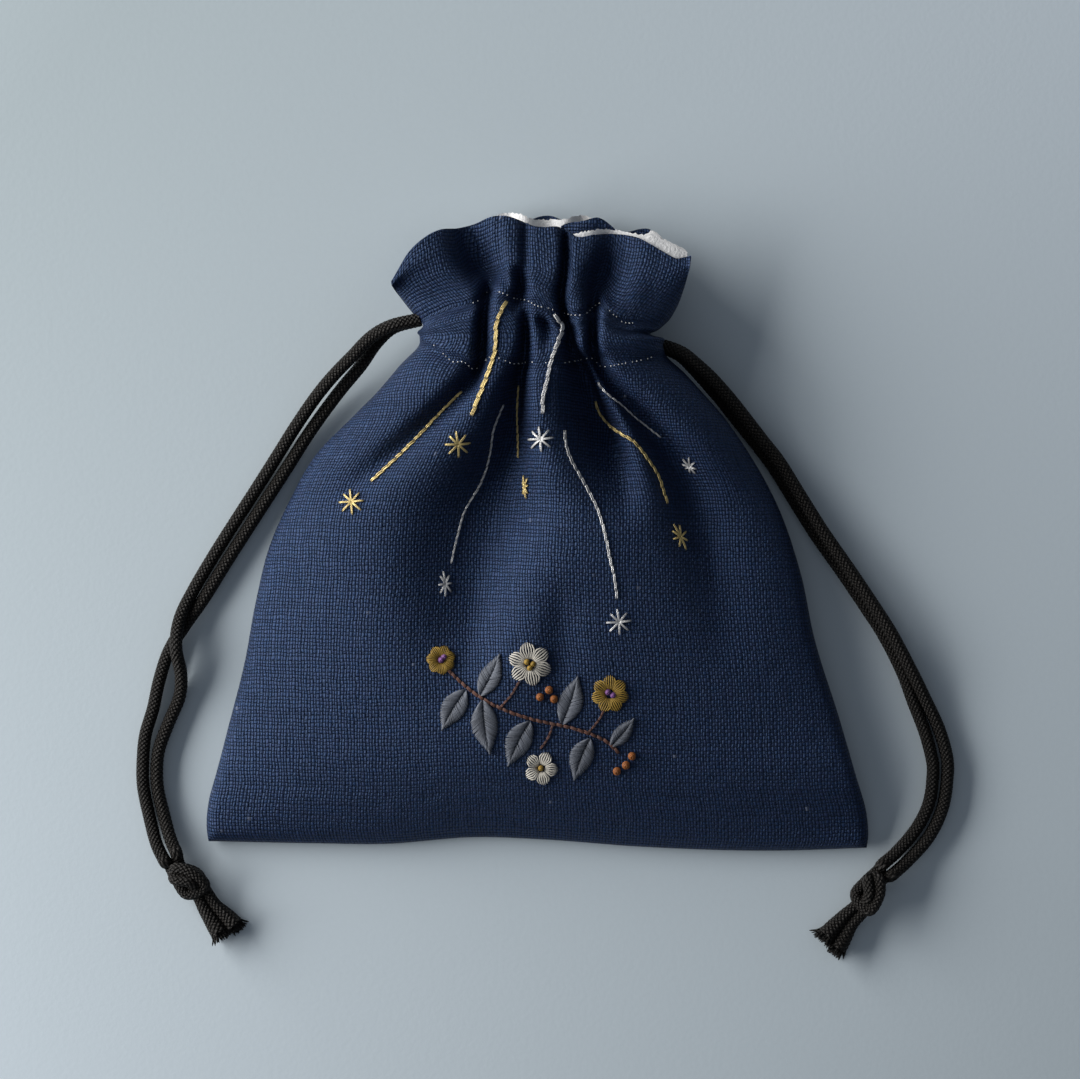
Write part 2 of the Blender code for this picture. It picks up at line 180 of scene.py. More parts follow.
class Nodes:
    """A short way to write a material's node tree."""

    def __init__(self, name):
        self.material = bpy.data.materials.new(name)
        self.material.use_nodes = True
        self.tree = self.material.node_tree
        self.shader = self.tree.nodes["Principled BSDF"]

    def put(self, socket, value):
        if isinstance(value, bpy.types.NodeSocket):
            self.tree.links.new(value, socket)
        else:
            socket.default_value = value

    def add(self, kind, values=(), **settings):
        """A node whose inputs take these values, given in order or by name."""
        node = self.tree.nodes.new(kind)
        for key, value in settings.items():
            setattr(node, key, value)
        for key, value in values.items() if isinstance(values, dict) else enumerate(values):
            self.put(node.inputs[key], value)
        return node

    def math(self, operation, *values):
        return self.add("ShaderNodeMath", values, operation=operation).outputs[0]

    def plus(self, a, b):
        return self.math("ADD", a, b)

    def times(self, a, b):
        return self.math("MULTIPLY", a, b)

    def scaled(self, a, factor, offset):
        """a times factor, plus offset."""
        return self.math("MULTIPLY_ADD", a, factor, offset)

    def hump(self, way):
        """A rounded hump between each two whole numbers."""
        middle = self.math("SUBTRACT", self.math("FRACT", way), 0.5)
        return self.math("COSINE", self.times(middle, math.pi))

    def on_top(self, one, two):
        """Which of two thread directions lies on top, 0 and 1 by turns."""
        return self.math("MODULO", self.plus(one, two), 2.0)

    def either(self, first, second, choice):
        """first where choice is 0, second where it is 1."""
        return self.plus(first, self.times(choice, self.math("SUBTRACT", second, first)))

    def vector(self, *values):
        return self.add("ShaderNodeCombineXYZ", values).outputs[0]

    def split(self, vector):
        return self.add("ShaderNodeSeparateXYZ", (vector,)).outputs

    def attribute(self, name):
        return self.add("ShaderNodeAttribute", attribute_name=name).outputs["Vector"]

    def noise(self, vector, scale, detail=2.0, roughness=0.5):
        values = {"Vector": vector, "Scale": scale, "Detail": detail, "Roughness": roughness}
        return self.add("ShaderNodeTexNoise", values).outputs["Fac"]

    def white(self, vector):
        node = self.add("ShaderNodeTexWhiteNoise", noise_dimensions="3D")
        self.put(node.inputs["Vector"], vector)
        return node.outputs["Value"]

    def mix(self, share, a, b):
        node = self.add("ShaderNodeMix", {"Factor": share}, data_type="RGBA")
        sockets = {socket.identifier: socket for socket in (*node.inputs, *node.outputs)}
        self.put(sockets["A_Color"], a)
        self.put(sockets["B_Color"], b)
        return sockets["Result_Color"]

    def ramp(self, value, low, high, out_low=0.0, out_high=1.0):
        return self.add("ShaderNodeMapRange", (value, low, high, out_low, out_high)).outputs[0]

    def bump(self, height, distance):
        values = {"Strength": 1.0, "Distance": distance, "Height": height}
        return self.add("ShaderNodeBump", values).outputs[0]

    def surface(self, colour, normal, **values):
        self.put(self.shader.inputs["Base Color"], colour)
        self.put(self.shader.inputs["Normal"], normal)
        for key, value in values.items():
            self.put(self.shader.inputs[key.replace("_", " ")], value)
        return self.material


def linen_material():
    """Navy plain weave: each thread passes over one and under the next, with slubs and pale lint, and
    painted shade that darkens each thread towards its edges and the gaps between threads.
    """
    blue, violet = (0.0120, 0.0274, 0.0780, 1.0), (0.0205, 0.0278, 0.0740, 1.0)
    gap_shade, pale_lint = (0.0004, 0.0008, 0.0020, 1.0), (0.25, 0.27, 0.33, 1.0)
    n = Nodes("navy_linen")
    cloth = n.attribute("cloth")
    u, v, _ = n.split(cloth)
    drift_u, drift_v = n.noise(cloth, 240.0), n.noise(n.vector(v, u, 0.7), 220.0)
    slub_u = n.noise(n.vector(u, n.times(v, 0.10), 2.0), 760.0)
    slub_v = n.noise(n.vector(n.times(u, 0.10), v, 5.0), 620.0)
    x = n.plus(n.plus(drift_u, n.math("DIVIDE", u, WARP_PITCH)), slub_u)
    y = n.plus(n.plus(drift_v, n.math("DIVIDE", v, WEFT_PITCH)), slub_v)
    ix, iy = n.math("FLOOR", x), n.math("FLOOR", y)
    over = n.on_top(ix, iy)
    across_x, across_y = n.hump(x), n.hump(y)
    warp = n.times(n.math("POWER", across_x, 0.70), n.scaled(across_y, 0.38, 0.62))
    weft = n.times(n.math("POWER", across_y, 0.70), n.scaled(across_x, 0.38, 0.62))
    height = n.either(warp, weft, over)
    fibre = n.noise(n.vector(n.times(u, 3.0), v, over), 2600.0)
    warp_tone = n.noise(n.vector(ix, n.times(iy, 0.11), 3.3), 1.3, 1.0)
    weft_tone = n.noise(n.vector(n.times(ix, 0.11), iy, 9.1), 1.3, 1.0)
    tone = n.either(warp_tone, weft_tone, over)
    cross = n.white(n.vector(ix, iy, 1.0))
    light = n.scaled(tone, 0.7, n.scaled(cross, 0.55, 0.30))
    light = n.times(light, n.ramp(n.noise(cloth, 38.0, 3.0), 0.2, 0.8, 0.86, 1.14))
    light = n.times(light, n.ramp(fibre, 0.2, 0.8, 0.85, 1.15))
    dyed = n.mix(n.ramp(n.noise(n.vector(ix, iy, 7.0), 0.45), 0.35, 0.65), blue, violet)
    # Painted shade: the thread's colour darkens with its height and turns near-black in the gaps between
    # threads.
    thread = n.mix(n.times(n.ramp(height, 0.38, 0.92), light), gap_shade, dyed)
    lint = n.ramp(n.white(n.vector(ix, iy, 5.0)), 0.9992, 0.9998, 0.0, 0.35)
    return n.surface(
        n.mix(lint, thread, pale_lint),
        n.bump(n.scaled(fibre, 0.12, n.times(height, 0.55)), 0.00046),
        Roughness=0.52,
        Specular_IOR_Level=0.70,
        Specular_Tint=(0.31, 0.52, 1.0, 1.0),
    )


def lining_material():
    """White cloth with a short, uneven nap."""
    n = Nodes("brushed_lining")
    cloth = n.attribute("cloth")
    height = n.scaled(n.noise(cloth, 260.0, 3.0, 0.6), 0.6, n.noise(cloth, 900.0, 4.0, 0.7))
    return n.surface(
        n.mix(n.ramp(height, 0.5, 1.1), (0.84, 0.84, 0.85, 1.0), (0.96, 0.96, 0.96, 1.0)),
        n.bump(height, 0.0004),
        Roughness=0.95,
        Sheen_Weight=0.9,
        Sheen_Roughness=0.5,
        Specular_IOR_Level=0.15,
    )


def cord_material():
    """Black-brown braid, with painted shade that darkens the furrows between its plaits."""
    furrow_shade, plait, worn = (
        (0.0009, 0.0008, 0.0007, 1.0), (0.0165, 0.0143, 0.0127, 1.0), (0.024, 0.0205, 0.0175, 1.0),
    )
    n = Nodes("dark_braid")
    along, around, _ = n.split(n.attribute("plait"))
    turn = n.times(around, PLAITS / (2 * math.pi))
    one = n.scaled(along, 1 / PLAIT_PITCH, turn)
    two = n.plus(n.scaled(along, -1 / PLAIT_PITCH, turn), 400.0)
    over = n.on_top(n.math("FLOOR", one), n.math("FLOOR", two))
    hump_one, hump_two = n.hump(one), n.hump(two)
    first = n.times(hump_one, n.scaled(hump_two, 0.4, 0.6))
    second = n.times(hump_two, n.scaled(hump_one, 0.4, 0.6))
    depth = n.either(first, second, over)
    strands = n.noise(n.vector(n.times(along, 900.0), n.times(around, 6.0), over), 1.0, 3.0)
    # Painted shade: the braid's colour darkens down into the furrows between its plaits.
    colour = n.mix(n.ramp(depth, 0.35, 0.95), furrow_shade, plait)
    return n.surface(
        n.mix(n.ramp(strands, 0.35, 0.75, 0.0, 0.45), colour, worn),
        n.bump(n.scaled(strands, 0.4, depth), 0.00034),
        Roughness=0.55,
        Specular_IOR_Level=0.22,
    )


def thread_material(name, colour, metal, roughness):
    """Embroidery thread: fine fibres along each stitch, and each stitch with a tone of its own."""
    n = Nodes(name)
    along, around, tone = n.split(n.attribute("strand"))
    fibre = n.noise(n.vector(n.times(along, 260.0), n.times(around, 5.0), tone), 1.0, 3.0)
    dark = tuple(0.40 * c for c in colour) + (1.0,)
    pale = tuple(min(1.0, 1.25 * c) for c in colour) + (1.0,)
    shade = n.scaled(tone, 0.45, n.ramp(fibre, 0.3, 0.7, 0.1, 0.6))
    return n.surface(
        n.mix(shade, dark, pale),
        n.bump(fibre, 0.00012),
        Roughness=roughness,
        Metallic=metal,
        Specular_IOR_Level=0.5,
    )


def floor_material():
    """Pale blue-grey tabletop with a fine grain, and painted light and shade that make it lighter and
    darker from corner to corner.
    """
    n = Nodes("pale_tabletop")
    spot = n.add("ShaderNodeNewGeometry").outputs["Position"]
    x, y, _ = n.split(spot)
    # Painted light and shade: the tabletop's colour drifts lighter and darker across it, setting how bright
    # each part looks.
    painted_light_drift = n.scaled(n.times(x, y), 4.1, n.scaled(x, 0.26, n.times(y, -0.22)))
    grain = n.noise(spot, 700.0, 3.0)
    shade = n.plus(n.ramp(painted_light_drift, -0.13, 0.13), n.ramp(grain, 0.3, 0.7, -0.015, 0.015))
    colour = n.mix(shade, (0.508, 0.588, 0.627, 1.0), (0.756, 0.856, 0.937, 1.0))
    return n.surface(colour, n.bump(grain, 0.00002), Roughness=0.7, Specular_IOR_Level=0.3)


# Camera, light and floor


def add_camera():
    """A camera straight above, whose picture at floor level has the photograph's scale."""
    data = bpy.data.cameras.new("camera")
    data.sensor_width = SENSOR
    data.sensor_fit = "HORIZONTAL"
    data.lens = SENSOR * CAMERA_HEIGHT / (FRAME_PIXELS[0] * PHOTO_PIXEL)
    camera = add_object("camera", data)
    camera.location = EYE
    bpy.context.scene.camera = camera


def add_window():
    """The one lamp: a low, wide and soft light from the left, turned to the frame's origin."""
    spot = Vector((-0.95, 0.24, 0.305))
    data = bpy.data.lights.new("window", "AREA")
    data.shape = "RECTANGLE"
    data.size, data.size_y = 1.4, 0.58
    data.energy = 23.0
    data.color = (1.0, 0.985, 0.96)
    lamp = add_object("window", data)
    lamp.location = spot
    lamp.rotation_euler = (-spot).to_track_quat("-Z", "Y").to_euler()


def add_stage():
    half = 1.6
    corners = [(-half, -half, 0), (half, -half, 0), (half, half, 0), (-half, half, 0)]
    mesh = bpy.data.meshes.new("tabletop")
    mesh.from_pydata(corners, [], [(0, 1, 2, 3)])
    mesh.materials.append(floor_material())
    floor = add_object("tabletop", mesh)
    floor.location.z = -0.0002
    add_window()
    world = bpy.data.worlds.new("room")
    world.use_nodes = True
    back = world.node_tree.nodes["Background"]
    back.inputs["Color"].default_value = (0.80, 0.88, 1.0, 1.0)
    back.inputs["Strength"].default_value = 0.15
    bpy.context.scene.world = world
    bpy.context.scene.view_settings.view_transform = "Standard"


# Cloth form, in millimetres. LEFT_SIDE to TROUGH give an x or a height for each y, the edge, rims and
# stitch shifts a y for each x. A crease's points are (x, y, depth, width to the left, to the right).

LEFT_SIDE = (
    (-87.2, -89.6), (-84.5, -90.0), (-76.4, -89.7), (-66.0, -87.4), (-56.7, -85.1), (-34.9, -79.6),
    (-18.5, -76.6), (-3.5, -72.8), (8.7, -67.4), (22.4, -59.2), (30.5, -51.2), (37.0, -44.6),
    (42.8, -37.6), (47.0, -32.4), (50.0, -32.0), (54.0, -32.6), (57.0, -32.4), (59.4, -31.0),
    (61.5, -32.6), (66.0, -35.6), (72.0, -38.3), (80.0, -39.5), (87.0, -39.8),
)
RIGHT_SIDE = (
    (-87.2, 89.9), (-84.5, 90.3), (-78.5, 90.0), (-66.0, 86.8), (-51.3, 82.6), (-29.5, 75.8),
    (-10.4, 71.7), (8.7, 64.9), (25.1, 55.4), (32.0, 50.4), (38.7, 44.4), (43.0, 40.0), (47.0, 35.4),
    (50.0, 34.4), (54.3, 34.4), (57.0, 30.8), (59.4, 33.0), (61.5, 35.1), (66.0, 37.9), (72.0, 40.2),
    (80.0, 41.6), (87.0, 42.1),
)
CREST = (
    (-87.2, 2.2), (-85.6, 4.1), (-82.0, 6.4), (-70.0, 11.4), (-50.0, 15.6), (-20.0, 18.8), (0.0, 20.2),
    (20.0, 21.4), (34.0, 22.4), (44.0, 23.2), (54.0, 23.8), (61.0, 22.2), (68.0, 19.6), (78.0, 16.8),
    (87.0, 14.8),
)
TROUGH = ((-87.2, 0.8), (-80.0, 0.5), (40.0, 0.5), (61.0, 0.6), (74.0, 1.6), (87.0, 3.0))
BOTTOM_EDGE = (
    (-90, 2.9), (-60, 2.3), (-42.8, 2.1), (-15.5, 4.0), (0.8, 3.4), (28, 1.4), (66, 0.3), (90, 1.1),
)
FRONT_RIM = (
    (-39.6, 68.4), (-35.5, 75.6), (-30.5, 80.4), (-26.5, 82.4), (-21, 82.9), (-17, 84.0), (-12.4, 86.0),
    (-9, 86.3), (-4.6, 85.0), (-1.5, 83.6), (1.4, 83.2), (6.0, 83.2), (8.4, 82.0), (10.0, 80.9),
    (15.8, 81.1), (19.9, 81.3), (24, 81.0), (28.1, 80.0), (30.8, 78.6), (34.9, 76.2), (38.3, 74.6),
    (40.4, 75.0), (42, 75.4),
)
BACK_RIM = (
    (-39.6, 68.2), (-35.5, 74.8), (-30.5, 79.6), (-21, 82.0), (-14, 84.4), (-10.4, 86.4), (-8, 86.6),
    (-4.5, 86.0), (-1.5, 85.4), (1.0, 86.1), (4.4, 86.1), (6.4, 85.3), (11, 85.8), (14.6, 85.6),
    (16.6, 84.2), (19, 82.4), (22, 81.6), (25.5, 82.0), (28, 82.6), (30.6, 82.6), (33, 80.6), (36, 77.8),
    (39.6, 75.6), (42, 75.0),
)
FRONT_LINING_RIM = (
    (-39.6, 67.6), (-35.5, 74.6), (-30.5, 79.4), (-21, 82.0), (-12.4, 84.8), (-9, 85.2), (-4.6, 84.0),
    (1.4, 82.2), (7.0, 82.0), (9.5, 81.3), (12.0, 81.9), (14.5, 82.2), (17.7, 82.6), (21.3, 82.4),
    (25.4, 81.7), (29.6, 81.3), (31.2, 82.2), (34.9, 79.8), (38.6, 78.0), (40.4, 76.9), (42, 75.6),
)
BACK_LINING_RIM = (
    (-39.6, 67.4), (-35.5, 74.0), (-30.5, 78.6), (-21, 81.0), (-14, 84.0), (-10.4, 86.6), (-8.2, 87.0),
    (-6.0, 87.0), (-3.3, 86.2), (-0.3, 85.2), (3, 85.2), (7.6, 85.3), (11.2, 86.3), (14.0, 86.1),
    (16.2, 84.6), (18.5, 80.6), (24, 79.6), (31, 78.6), (36, 76.6), (39.6, 75.0), (42, 74.6),
)
UPPER_STITCH_SHIFT = (
    (-31, -3.2), (-24, -0.6), (-18, 1.0), (-13, 4.2), (-6, 2.4), (3.5, 0.0), (5.5, -1.8), (11, -1.8),
    (14.5, -0.6), (17.5, 1.2), (21, -2.2), (24, -3.8), (28, -3.8), (32, -4.6),
)
LOWER_STITCH_SHIFT = (
    (-31, 3.6), (-28, 2.6), (-25, 1.0), (-20, -0.4), (-17, -2.4), (-13, 0.6), (-6.5, -0.9), (7, -0.9),
    (14.5, 0.6), (22, 0.6), (34, 0.9),
)
FRONT_CREASES = (
    # left frill valley, casing furrow and the crease beside the first trail
    ((-19.0, 87, 4.6, 5.4, 4.6), (-17.4, 80, 8.6, 4.8, 4.2), (-15.0, 73, 11.0, 4.0, 3.4),
     (-12.8, 67, 11.2, 2.8, 2.2), (-13.6, 61, 10.2, 1.8, 1.5), (-14.7, 55, 9.8, 1.4, 1.2),
     (-15.2, 49, 8.5, 1.9, 1.6), (-16.6, 44, 7.0, 3.0, 2.2), (-20.4, 38.5, 6.2, 3.8, 3.0),
     (-27.0, 32.0, 5.4, 4.4, 4.0), (-35.4, 24.6, 4.2, 5.0, 5.0), (-43.6, 17.6, 2.8, 6.0, 6.0),
     (-50.0, 11.5, 1.4, 7.0, 7.0), (-56.0, 4.0, 0.0, 8.0, 8.0)),
    # furrow right of the thick gold trail, opening into the great valley
    ((-3.4, 60, 1.5, 1.3, 1.3), (-3.2, 54, 6.2, 1.2, 1.2), (-3.3, 49, 8.0, 2.0, 1.4),
     (-4.0, 45, 9.8, 2.6, 1.6), (-4.8, 39, 12.0, 3.8, 2.0), (-5.2, 33, 13.6, 5.2, 2.4),
     (-6.0, 26, 14.4, 7.4, 3.6), (-8.2, 17, 14.2, 11.6, 6.0), (-11.4, 7.5, 14.0, 16.0, 11.0),
     (-14.4, -2.0, 13.0, 17.0, 12.0), (-16.8, -13, 11.2, 16.4, 10.4), (-18.0, -24, 7.8, 15.0, 10.0),
     (-19.6, -34, 4.2, 14.0, 10.0), (-22.0, -44, 1.6, 12.6, 10.0), (-24.0, -54, 0.0, 12.0, 9.0)),
    # frill pocket under the ridge
    ((-4.8, 74, 0.0, 1.6, 1.4), (-4.8, 70, 3.2, 1.6, 1.4), (-4.5, 66, 5.6, 1.4, 1.4),
     (-5.4, 62, 5.2, 1.4, 1.7), (-6.0, 59, 1.8, 1.5, 1.8), (-6.2, 57, 0.0, 1.5, 1.8)),
    # narrow crease beside the ridge of the left frill
    ((-10.4, 86, 0.3, 1.4, 1.0), (-10.2, 80, 0.7, 1.4, 1.0), (-9.8, 73, 1.1, 1.4, 1.0),
     (-9.0, 66, 0.9, 1.3, 1.0), (-8.6, 62, 0.0, 1.2, 1.0)),
    # pocket beside the silver trail
    ((1.4, 58.6, 0.0, 1.6, 1.6), (2.2, 56.6, 3.6, 2.0, 1.6), (3.0, 54.4, 2.2, 1.8, 1.2),
     (2.4, 51.6, 0.6, 1.4, 1.2), (2.4, 49, 0.0, 1.4, 1.2)),
    # third furrow: frill line, casing, valley under the narrow lobe
    ((7.2, 87, 4.0, 0.9, 1.3), (7.6, 80, 5.0, 0.9, 1.2), (7.2, 72, 5.6, 1.0, 1.1),
     (6.6, 66, 6.4, 1.2, 1.1), (7.6, 61, 7.6, 1.2, 1.1), (9.0, 56, 9.0, 1.2, 1.1),
     (9.4, 51, 9.6, 1.8, 1.3), (11.2, 47, 11.0, 2.8, 1.7), (13.8, 41, 13.4, 4.6, 2.2),
     (16.8, 34, 14.4, 6.8, 2.6), (19.6, 27, 13.2, 8.6, 3.0), (21.6, 20, 9.6, 9.4, 3.6),
     (23.0, 13, 5.2, 9.6, 4.4), (23.6, 6, 1.8, 9.0, 5.0), (24.0, 0, 0.0, 9.0, 5.0)),
    # fourth furrow: right frill valley, casing and the long right crease
    ((20.8, 87, 2.6, 4.4, 6.0), (20.0, 79, 6.2, 4.4, 6.4), (17.8, 73, 10.0, 3.4, 6.4),
     (16.2, 67, 11.0, 2.4, 5.0), (15.2, 61, 10.0, 1.4, 2.2), (15.2, 55, 9.6, 1.1, 1.2),
     (15.2, 50, 9.6, 1.2, 1.4), (16.2, 46, 9.0, 1.8, 2.0), (20.0, 40, 8.4, 2.4, 3.2),
     (26.0, 34, 8.2, 3.4, 4.4), (31.6, 27, 8.0, 4.6, 5.6), (36.6, 19.6, 7.2, 5.8, 6.6),
     (41.2, 10.6, 6.0, 7.4, 7.6), (45.0, 0.6, 4.8, 8.6, 8.4), (48.0, -9.6, 3.4, 8.8, 8.6),
     (50.0, -20, 2.0, 8.6, 9.0), (51.2, -30, 1.0, 7.6, 9.0), (52.0, -40, 0.0, 7.6, 9.0)),
    # dip of the right fan
    ((34, 87, 0.8, 6.0, 8.0), (33, 78, 1.2, 6.0, 7.0), (31, 70, 0.8, 5.0, 6.0), (28, 62, 0.0, 5.0, 6.0)),
    # faint furrow down the middle of the body
    ((6.4, -12, 0.0, 5.0, 5.0), (6.8, -22, 1.3, 5.0, 5.5), (6.2, -33, 1.5, 5.0, 5.5),
     (5.6, -44, 0.9, 5.0, 5.5), (5.2, -56, 0.0, 5.0, 5.0)),
)
BACK_CREASES = (
    ((-20, 87, 3.0, 3.4, 3.2), (-17, 74, 6.5, 2.8, 2.6), (-15, 61, 8.6, 1.6, 1.6),
     (-15, 50, 7.6, 1.8, 1.8), (-20, 38, 3.0, 4.0, 3.4), (-29, 22, 1.2, 6.0, 5.0),
     (-36, 6, 0.0, 8.0, 6.0)),
    ((-3, 87, 2.4, 2.6, 2.6), (-3, 74, 5.0, 2.0, 2.0), (-3.6, 61, 8.4, 1.3, 1.3),
     (-4, 50, 7.8, 1.6, 1.6), (-6, 38, 3.4, 4.0, 4.0), (-8, 20, 1.4, 6.0, 6.0), (-9, 0, 0.0, 8.0, 8.0)),
    ((8, 87, 2.4, 2.4, 2.4), (8, 74, 5.2, 2.0, 2.0), (8.4, 61, 8.4, 1.3, 1.3), (8.6, 50, 7.8, 1.6, 1.6),
     (12, 38, 3.2, 4.0, 4.0), (16, 22, 1.2, 6.0, 6.0), (18, 8, 0.0, 8.0, 8.0)),
    ((21, 87, 2.6, 3.0, 3.2), (19, 74, 5.8, 2.6, 2.6), (17.6, 61, 8.4, 1.5, 1.5),
     (17, 50, 7.6, 1.7, 1.7), (21, 38, 3.0, 3.4, 4.0), (30, 24, 1.2, 5.0, 6.0), (38, 8, 0.0, 6.0, 8.0)),
)


def along_crease(crease, y):
    """A crease's place, depth and widths at a row. A faint one stops at its last point."""
    ordered = sorted(crease, key=lambda p: p[1])
    inside = ordered[0][1] <= y <= ordered[-1][1]
    found = [float(curve_value([(p[1], p[k]) for p in ordered], y)) for k in (0, 2, 3, 4)]
    if not inside and found[1] < 0.3:
        found[1] = 0.0
    return found


def creased(x, y, creases):
    """Summed depth of the creases across one row, in millimetres."""
    total = np.zeros_like(x)
    for crease in creases:
        middle, depth, left, right = along_crease(crease, y)
        if depth > 0.0:
            reach = np.where(x < middle, (middle - x) / left, (x - middle) / right)
            total += depth * np.exp(-(reach**1.7))
    return total


def tunnel(y):
    """How far the casing's channel is open at a row, from 0 to 1."""
    half_height, shoulder = 7.6, 2.4
    return float(between(half_height - abs(y - CASING_MIDDLE / MM), 0.0, shoulder))


def mid_height(y):
    """Height of the plane between the two linings."""
    body, frill_drop = 2.15, 3.2
    neck = body + (NECK_MIDDLE_Z - body) * float(between(y, 8, 48))
    return neck - frill_drop * float(between(y, 62, 76))


def edge_height(y):
    """Height of the side seam."""
    body = 1.5
    return body + (NECK_MIDDLE_Z - body) * float(between(y, 6, 48))


def rounded(distance):
    """How far the cloth has turned up at this distance from a seam, from 0 to 1."""
    return np.sqrt(1 - (1 - np.clip(distance / SEAM_TURN, 0, 1)) ** 2)


def kept_outside(side, height, limit):
    """Heights held on a panel's own side of a limit. side is 1 for the front, -1 for the back."""
    return side * np.maximum(side * height, side * limit)


def lift(x, y, left, right):
    """How far the whole stack of cloth rises: the frill's corners, and the body's right side."""
    share = 2 * (x - left) / (right - left) - 1
    frill = float(between(y, 60, 82)) * np.abs(share) ** 2.2
    body = float(between(y, -87, -62) * (1 - between(y, 8, 44))) * np.clip(share, 0, 1) ** 2.6
    return FRILL_FLARE * frill * np.where(share < 0, 1.0, 0.55) + BODY_LIFT * body


def row_profile(side, y):
    """One row of a panel's outer face as close points, in millimetres."""
    left, right = float(curve_value(LEFT_SIDE, y)), float(curve_value(RIGHT_SIDE, y))
    middle, half = (left + right) / 2, (right - left) / 2
    x = middle - half * np.cos(np.linspace(0, math.pi, 2400))
    s = np.abs((x - middle) / half)
    neck = float(between(y, -2, 50))
    across = (1 - s ** (2.1 + 0.8 * neck)).clip(0, 1) ** (0.74 - 0.22 * neck)
    channel = tunnel(y)
    edge = edge_height(y) + side * (SEAM_GAP + SLIT * channel)
    least = mid_height(y) + side * ((1.8 if side > 0 else 1.6) + 3.7 * channel)
    crest = float(kept_outside(side, float(curve_value(CREST if side > 0 else TROUGH, y)), least))
    folds = creased(x, y, FRONT_CREASES if side > 0 else BACK_CREASES)
    limit = np.maximum(abs(crest - least) * across, 0.02)
    rise = (least - edge) * rounded(half * (1 - s)) + (crest - least) * across
    z = edge + float(rounded(y - BAG_BOTTOM)) * rise
    return x, z - side * limit * np.tanh(folds / limit) + lift(x, y, left, right)


def offset_profile(side, x, z, radius):
    """The curve that a layer takes at this distance inside a row, on even steps of x."""
    step = 0.1
    even = np.arange(x[0], x[-1] + step / 2, step)
    height = side * np.interp(even, x, z)
    reach = int(radius / step)
    padded = np.concatenate([np.full(reach, height[0]), height, np.full(reach, height[-1])])
    lowest = np.full(len(even), np.inf)
    for shift in range(-reach, reach + 1):
        drop = math.sqrt(max(radius**2 - (shift * step) ** 2, 0.0))
        lowest = np.minimum(lowest, padded[reach + shift : reach + shift + len(even)] - drop)
    return even, side * lowest


def spread(x, z, count):
    """Points evenly spaced along a row."""
    gone = np.concatenate([[0.0], np.cumsum(np.hypot(np.diff(x), np.diff(z)))])
    wanted = np.linspace(0, gone[-1], count)
    return np.interp(wanted, gone, x), np.interp(wanted, gone, z)


def inner_row(side, y, x, z, depth, face_x, face_z):
    """The face under a row's outer face, each point straight behind its partner."""
    slope = np.gradient(face_z, face_x + np.arange(len(face_x)) * 1e-9)
    shift = side * depth * slope / np.sqrt(1 + slope**2)
    even, height = offset_profile(side, x, z, depth)
    at = np.maximum.accumulate(np.clip(face_x + shift, x[0], x[-1]))
    edge = edge_height(y) + side * (0.01 + SLIT * tunnel(y)) + lift(at, y, x[0], x[-1])
    return at, kept_outside(side, np.interp(at, even, height), edge)


def fanned(side, x, y, rim):
    """Where a row's points lie along the bag: bottom waves, stitch puckers and the frill's rim."""
    at = y + curve_value(BOTTOM_EDGE, x) * float(1 - between(y, BAG_BOTTOM, -58))
    ease_up = float(between(y, 50, 61) * (1 - between(y, 61, 76)))
    ease_down = float(between(y, 36, 47) * (1 - between(y, 47, 58)))
    share = 1.0 if side > 0 else between(np.abs(x), 18, 30)
    at = at + curve_value(UPPER_STITCH_SHIFT, x) * ease_up * share
    at = at + curve_value(LOWER_STITCH_SHIFT, x) * ease_down * np.maximum(share, 0.4)
    frill = max((y - UPPER_STITCHES) / (BAG_TOP - UPPER_STITCHES), 0.0)
    return at + (curve_value(rim, x) - BAG_TOP) * frill**1.15


def levels_from(bottom, body_step, neck_step):
    """Rows of a cloth grid up to the rim, closest at the hem and the neck."""
    hem = [bottom, bottom + 0.25, bottom + 0.8, bottom + 1.6]
    body = np.arange(bottom + SEAM_TURN, NECK_ROWS_FROM - 0.4, body_step)
    neck = np.linspace(NECK_ROWS_FROM, BAG_TOP, int((BAG_TOP - NECK_ROWS_FROM) / neck_step))
    return np.concatenate([hem, body, neck])


def smoothed(grid, rounds):
    """A grid with each inner point drawn halfway to the mean of its neighbours."""
    for _ in range(rounds):
        inner = (grid[:-2, 1:-1] + grid[2:, 1:-1] + grid[1:-1, :-2] + grid[1:-1, 2:]) / 4
        grid[1:-1, 1:-1] = 0.5 * grid[1:-1, 1:-1] + 0.5 * inner
    return grid


def seen_in_place(grid):
    """Points moved so that the camera, which is near, shows each where the photograph does."""
    share = 1 - grid[..., 2] / CAMERA_HEIGHT
    for axis in (0, 1):
        grid[..., axis] = EYE[axis] + (grid[..., axis] - EYE[axis]) * share
    return grid


def linen_rows(side, y, columns):
    """One row of the linen's outer face and of its inner face, each as x and height."""
    x, z = row_profile(side, y)
    over = spread(x, z, columns)
    return over, inner_row(side, y, x, z, LINEN_THICKNESS, *over)


def lining_rows(side, y, columns):
    """One row of the lining's face towards the linen, and of the other, each as x and height."""
    x, z = row_profile(side, y)
    depth = LINEN_THICKNESS + LAYER_GAP + CORD_ROOM * tunnel(y)
    inset = 3.2 if y < 60 else 1.0
    even, height = offset_profile(side, x, z, depth)
    clear = mid_height(y) + side * (LINING_THICKNESS + 0.05) + lift(even, y, x[0], x[-1])
    kept = (even > x[0] + inset) & (even < x[-1] - inset)
    over_x, over_z = spread(even[kept], kept_outside(side, height, clear)[kept], columns)
    even, height = offset_profile(side, x, z, depth + LINING_THICKNESS)
    height = kept_outside(side, height, clear - side * LINING_THICKNESS)
    return (over_x, over_z), (over_x, np.interp(over_x, even, height))


def cloth_faces(side, rows_at, levels, columns, rim):
    """The outer and the inner face of one cloth layer, as grids in millimetres."""
    faces = np.zeros((2, len(levels), columns, 3))
    for row, y in enumerate(levels):
        rows = rows_at(side, y, columns)
        along = fanned(side, rows[0][0], y, rim)
        for face, (x, z) in zip(faces, rows):
            face[row] = np.stack([x, along, z], 1)
    return faces


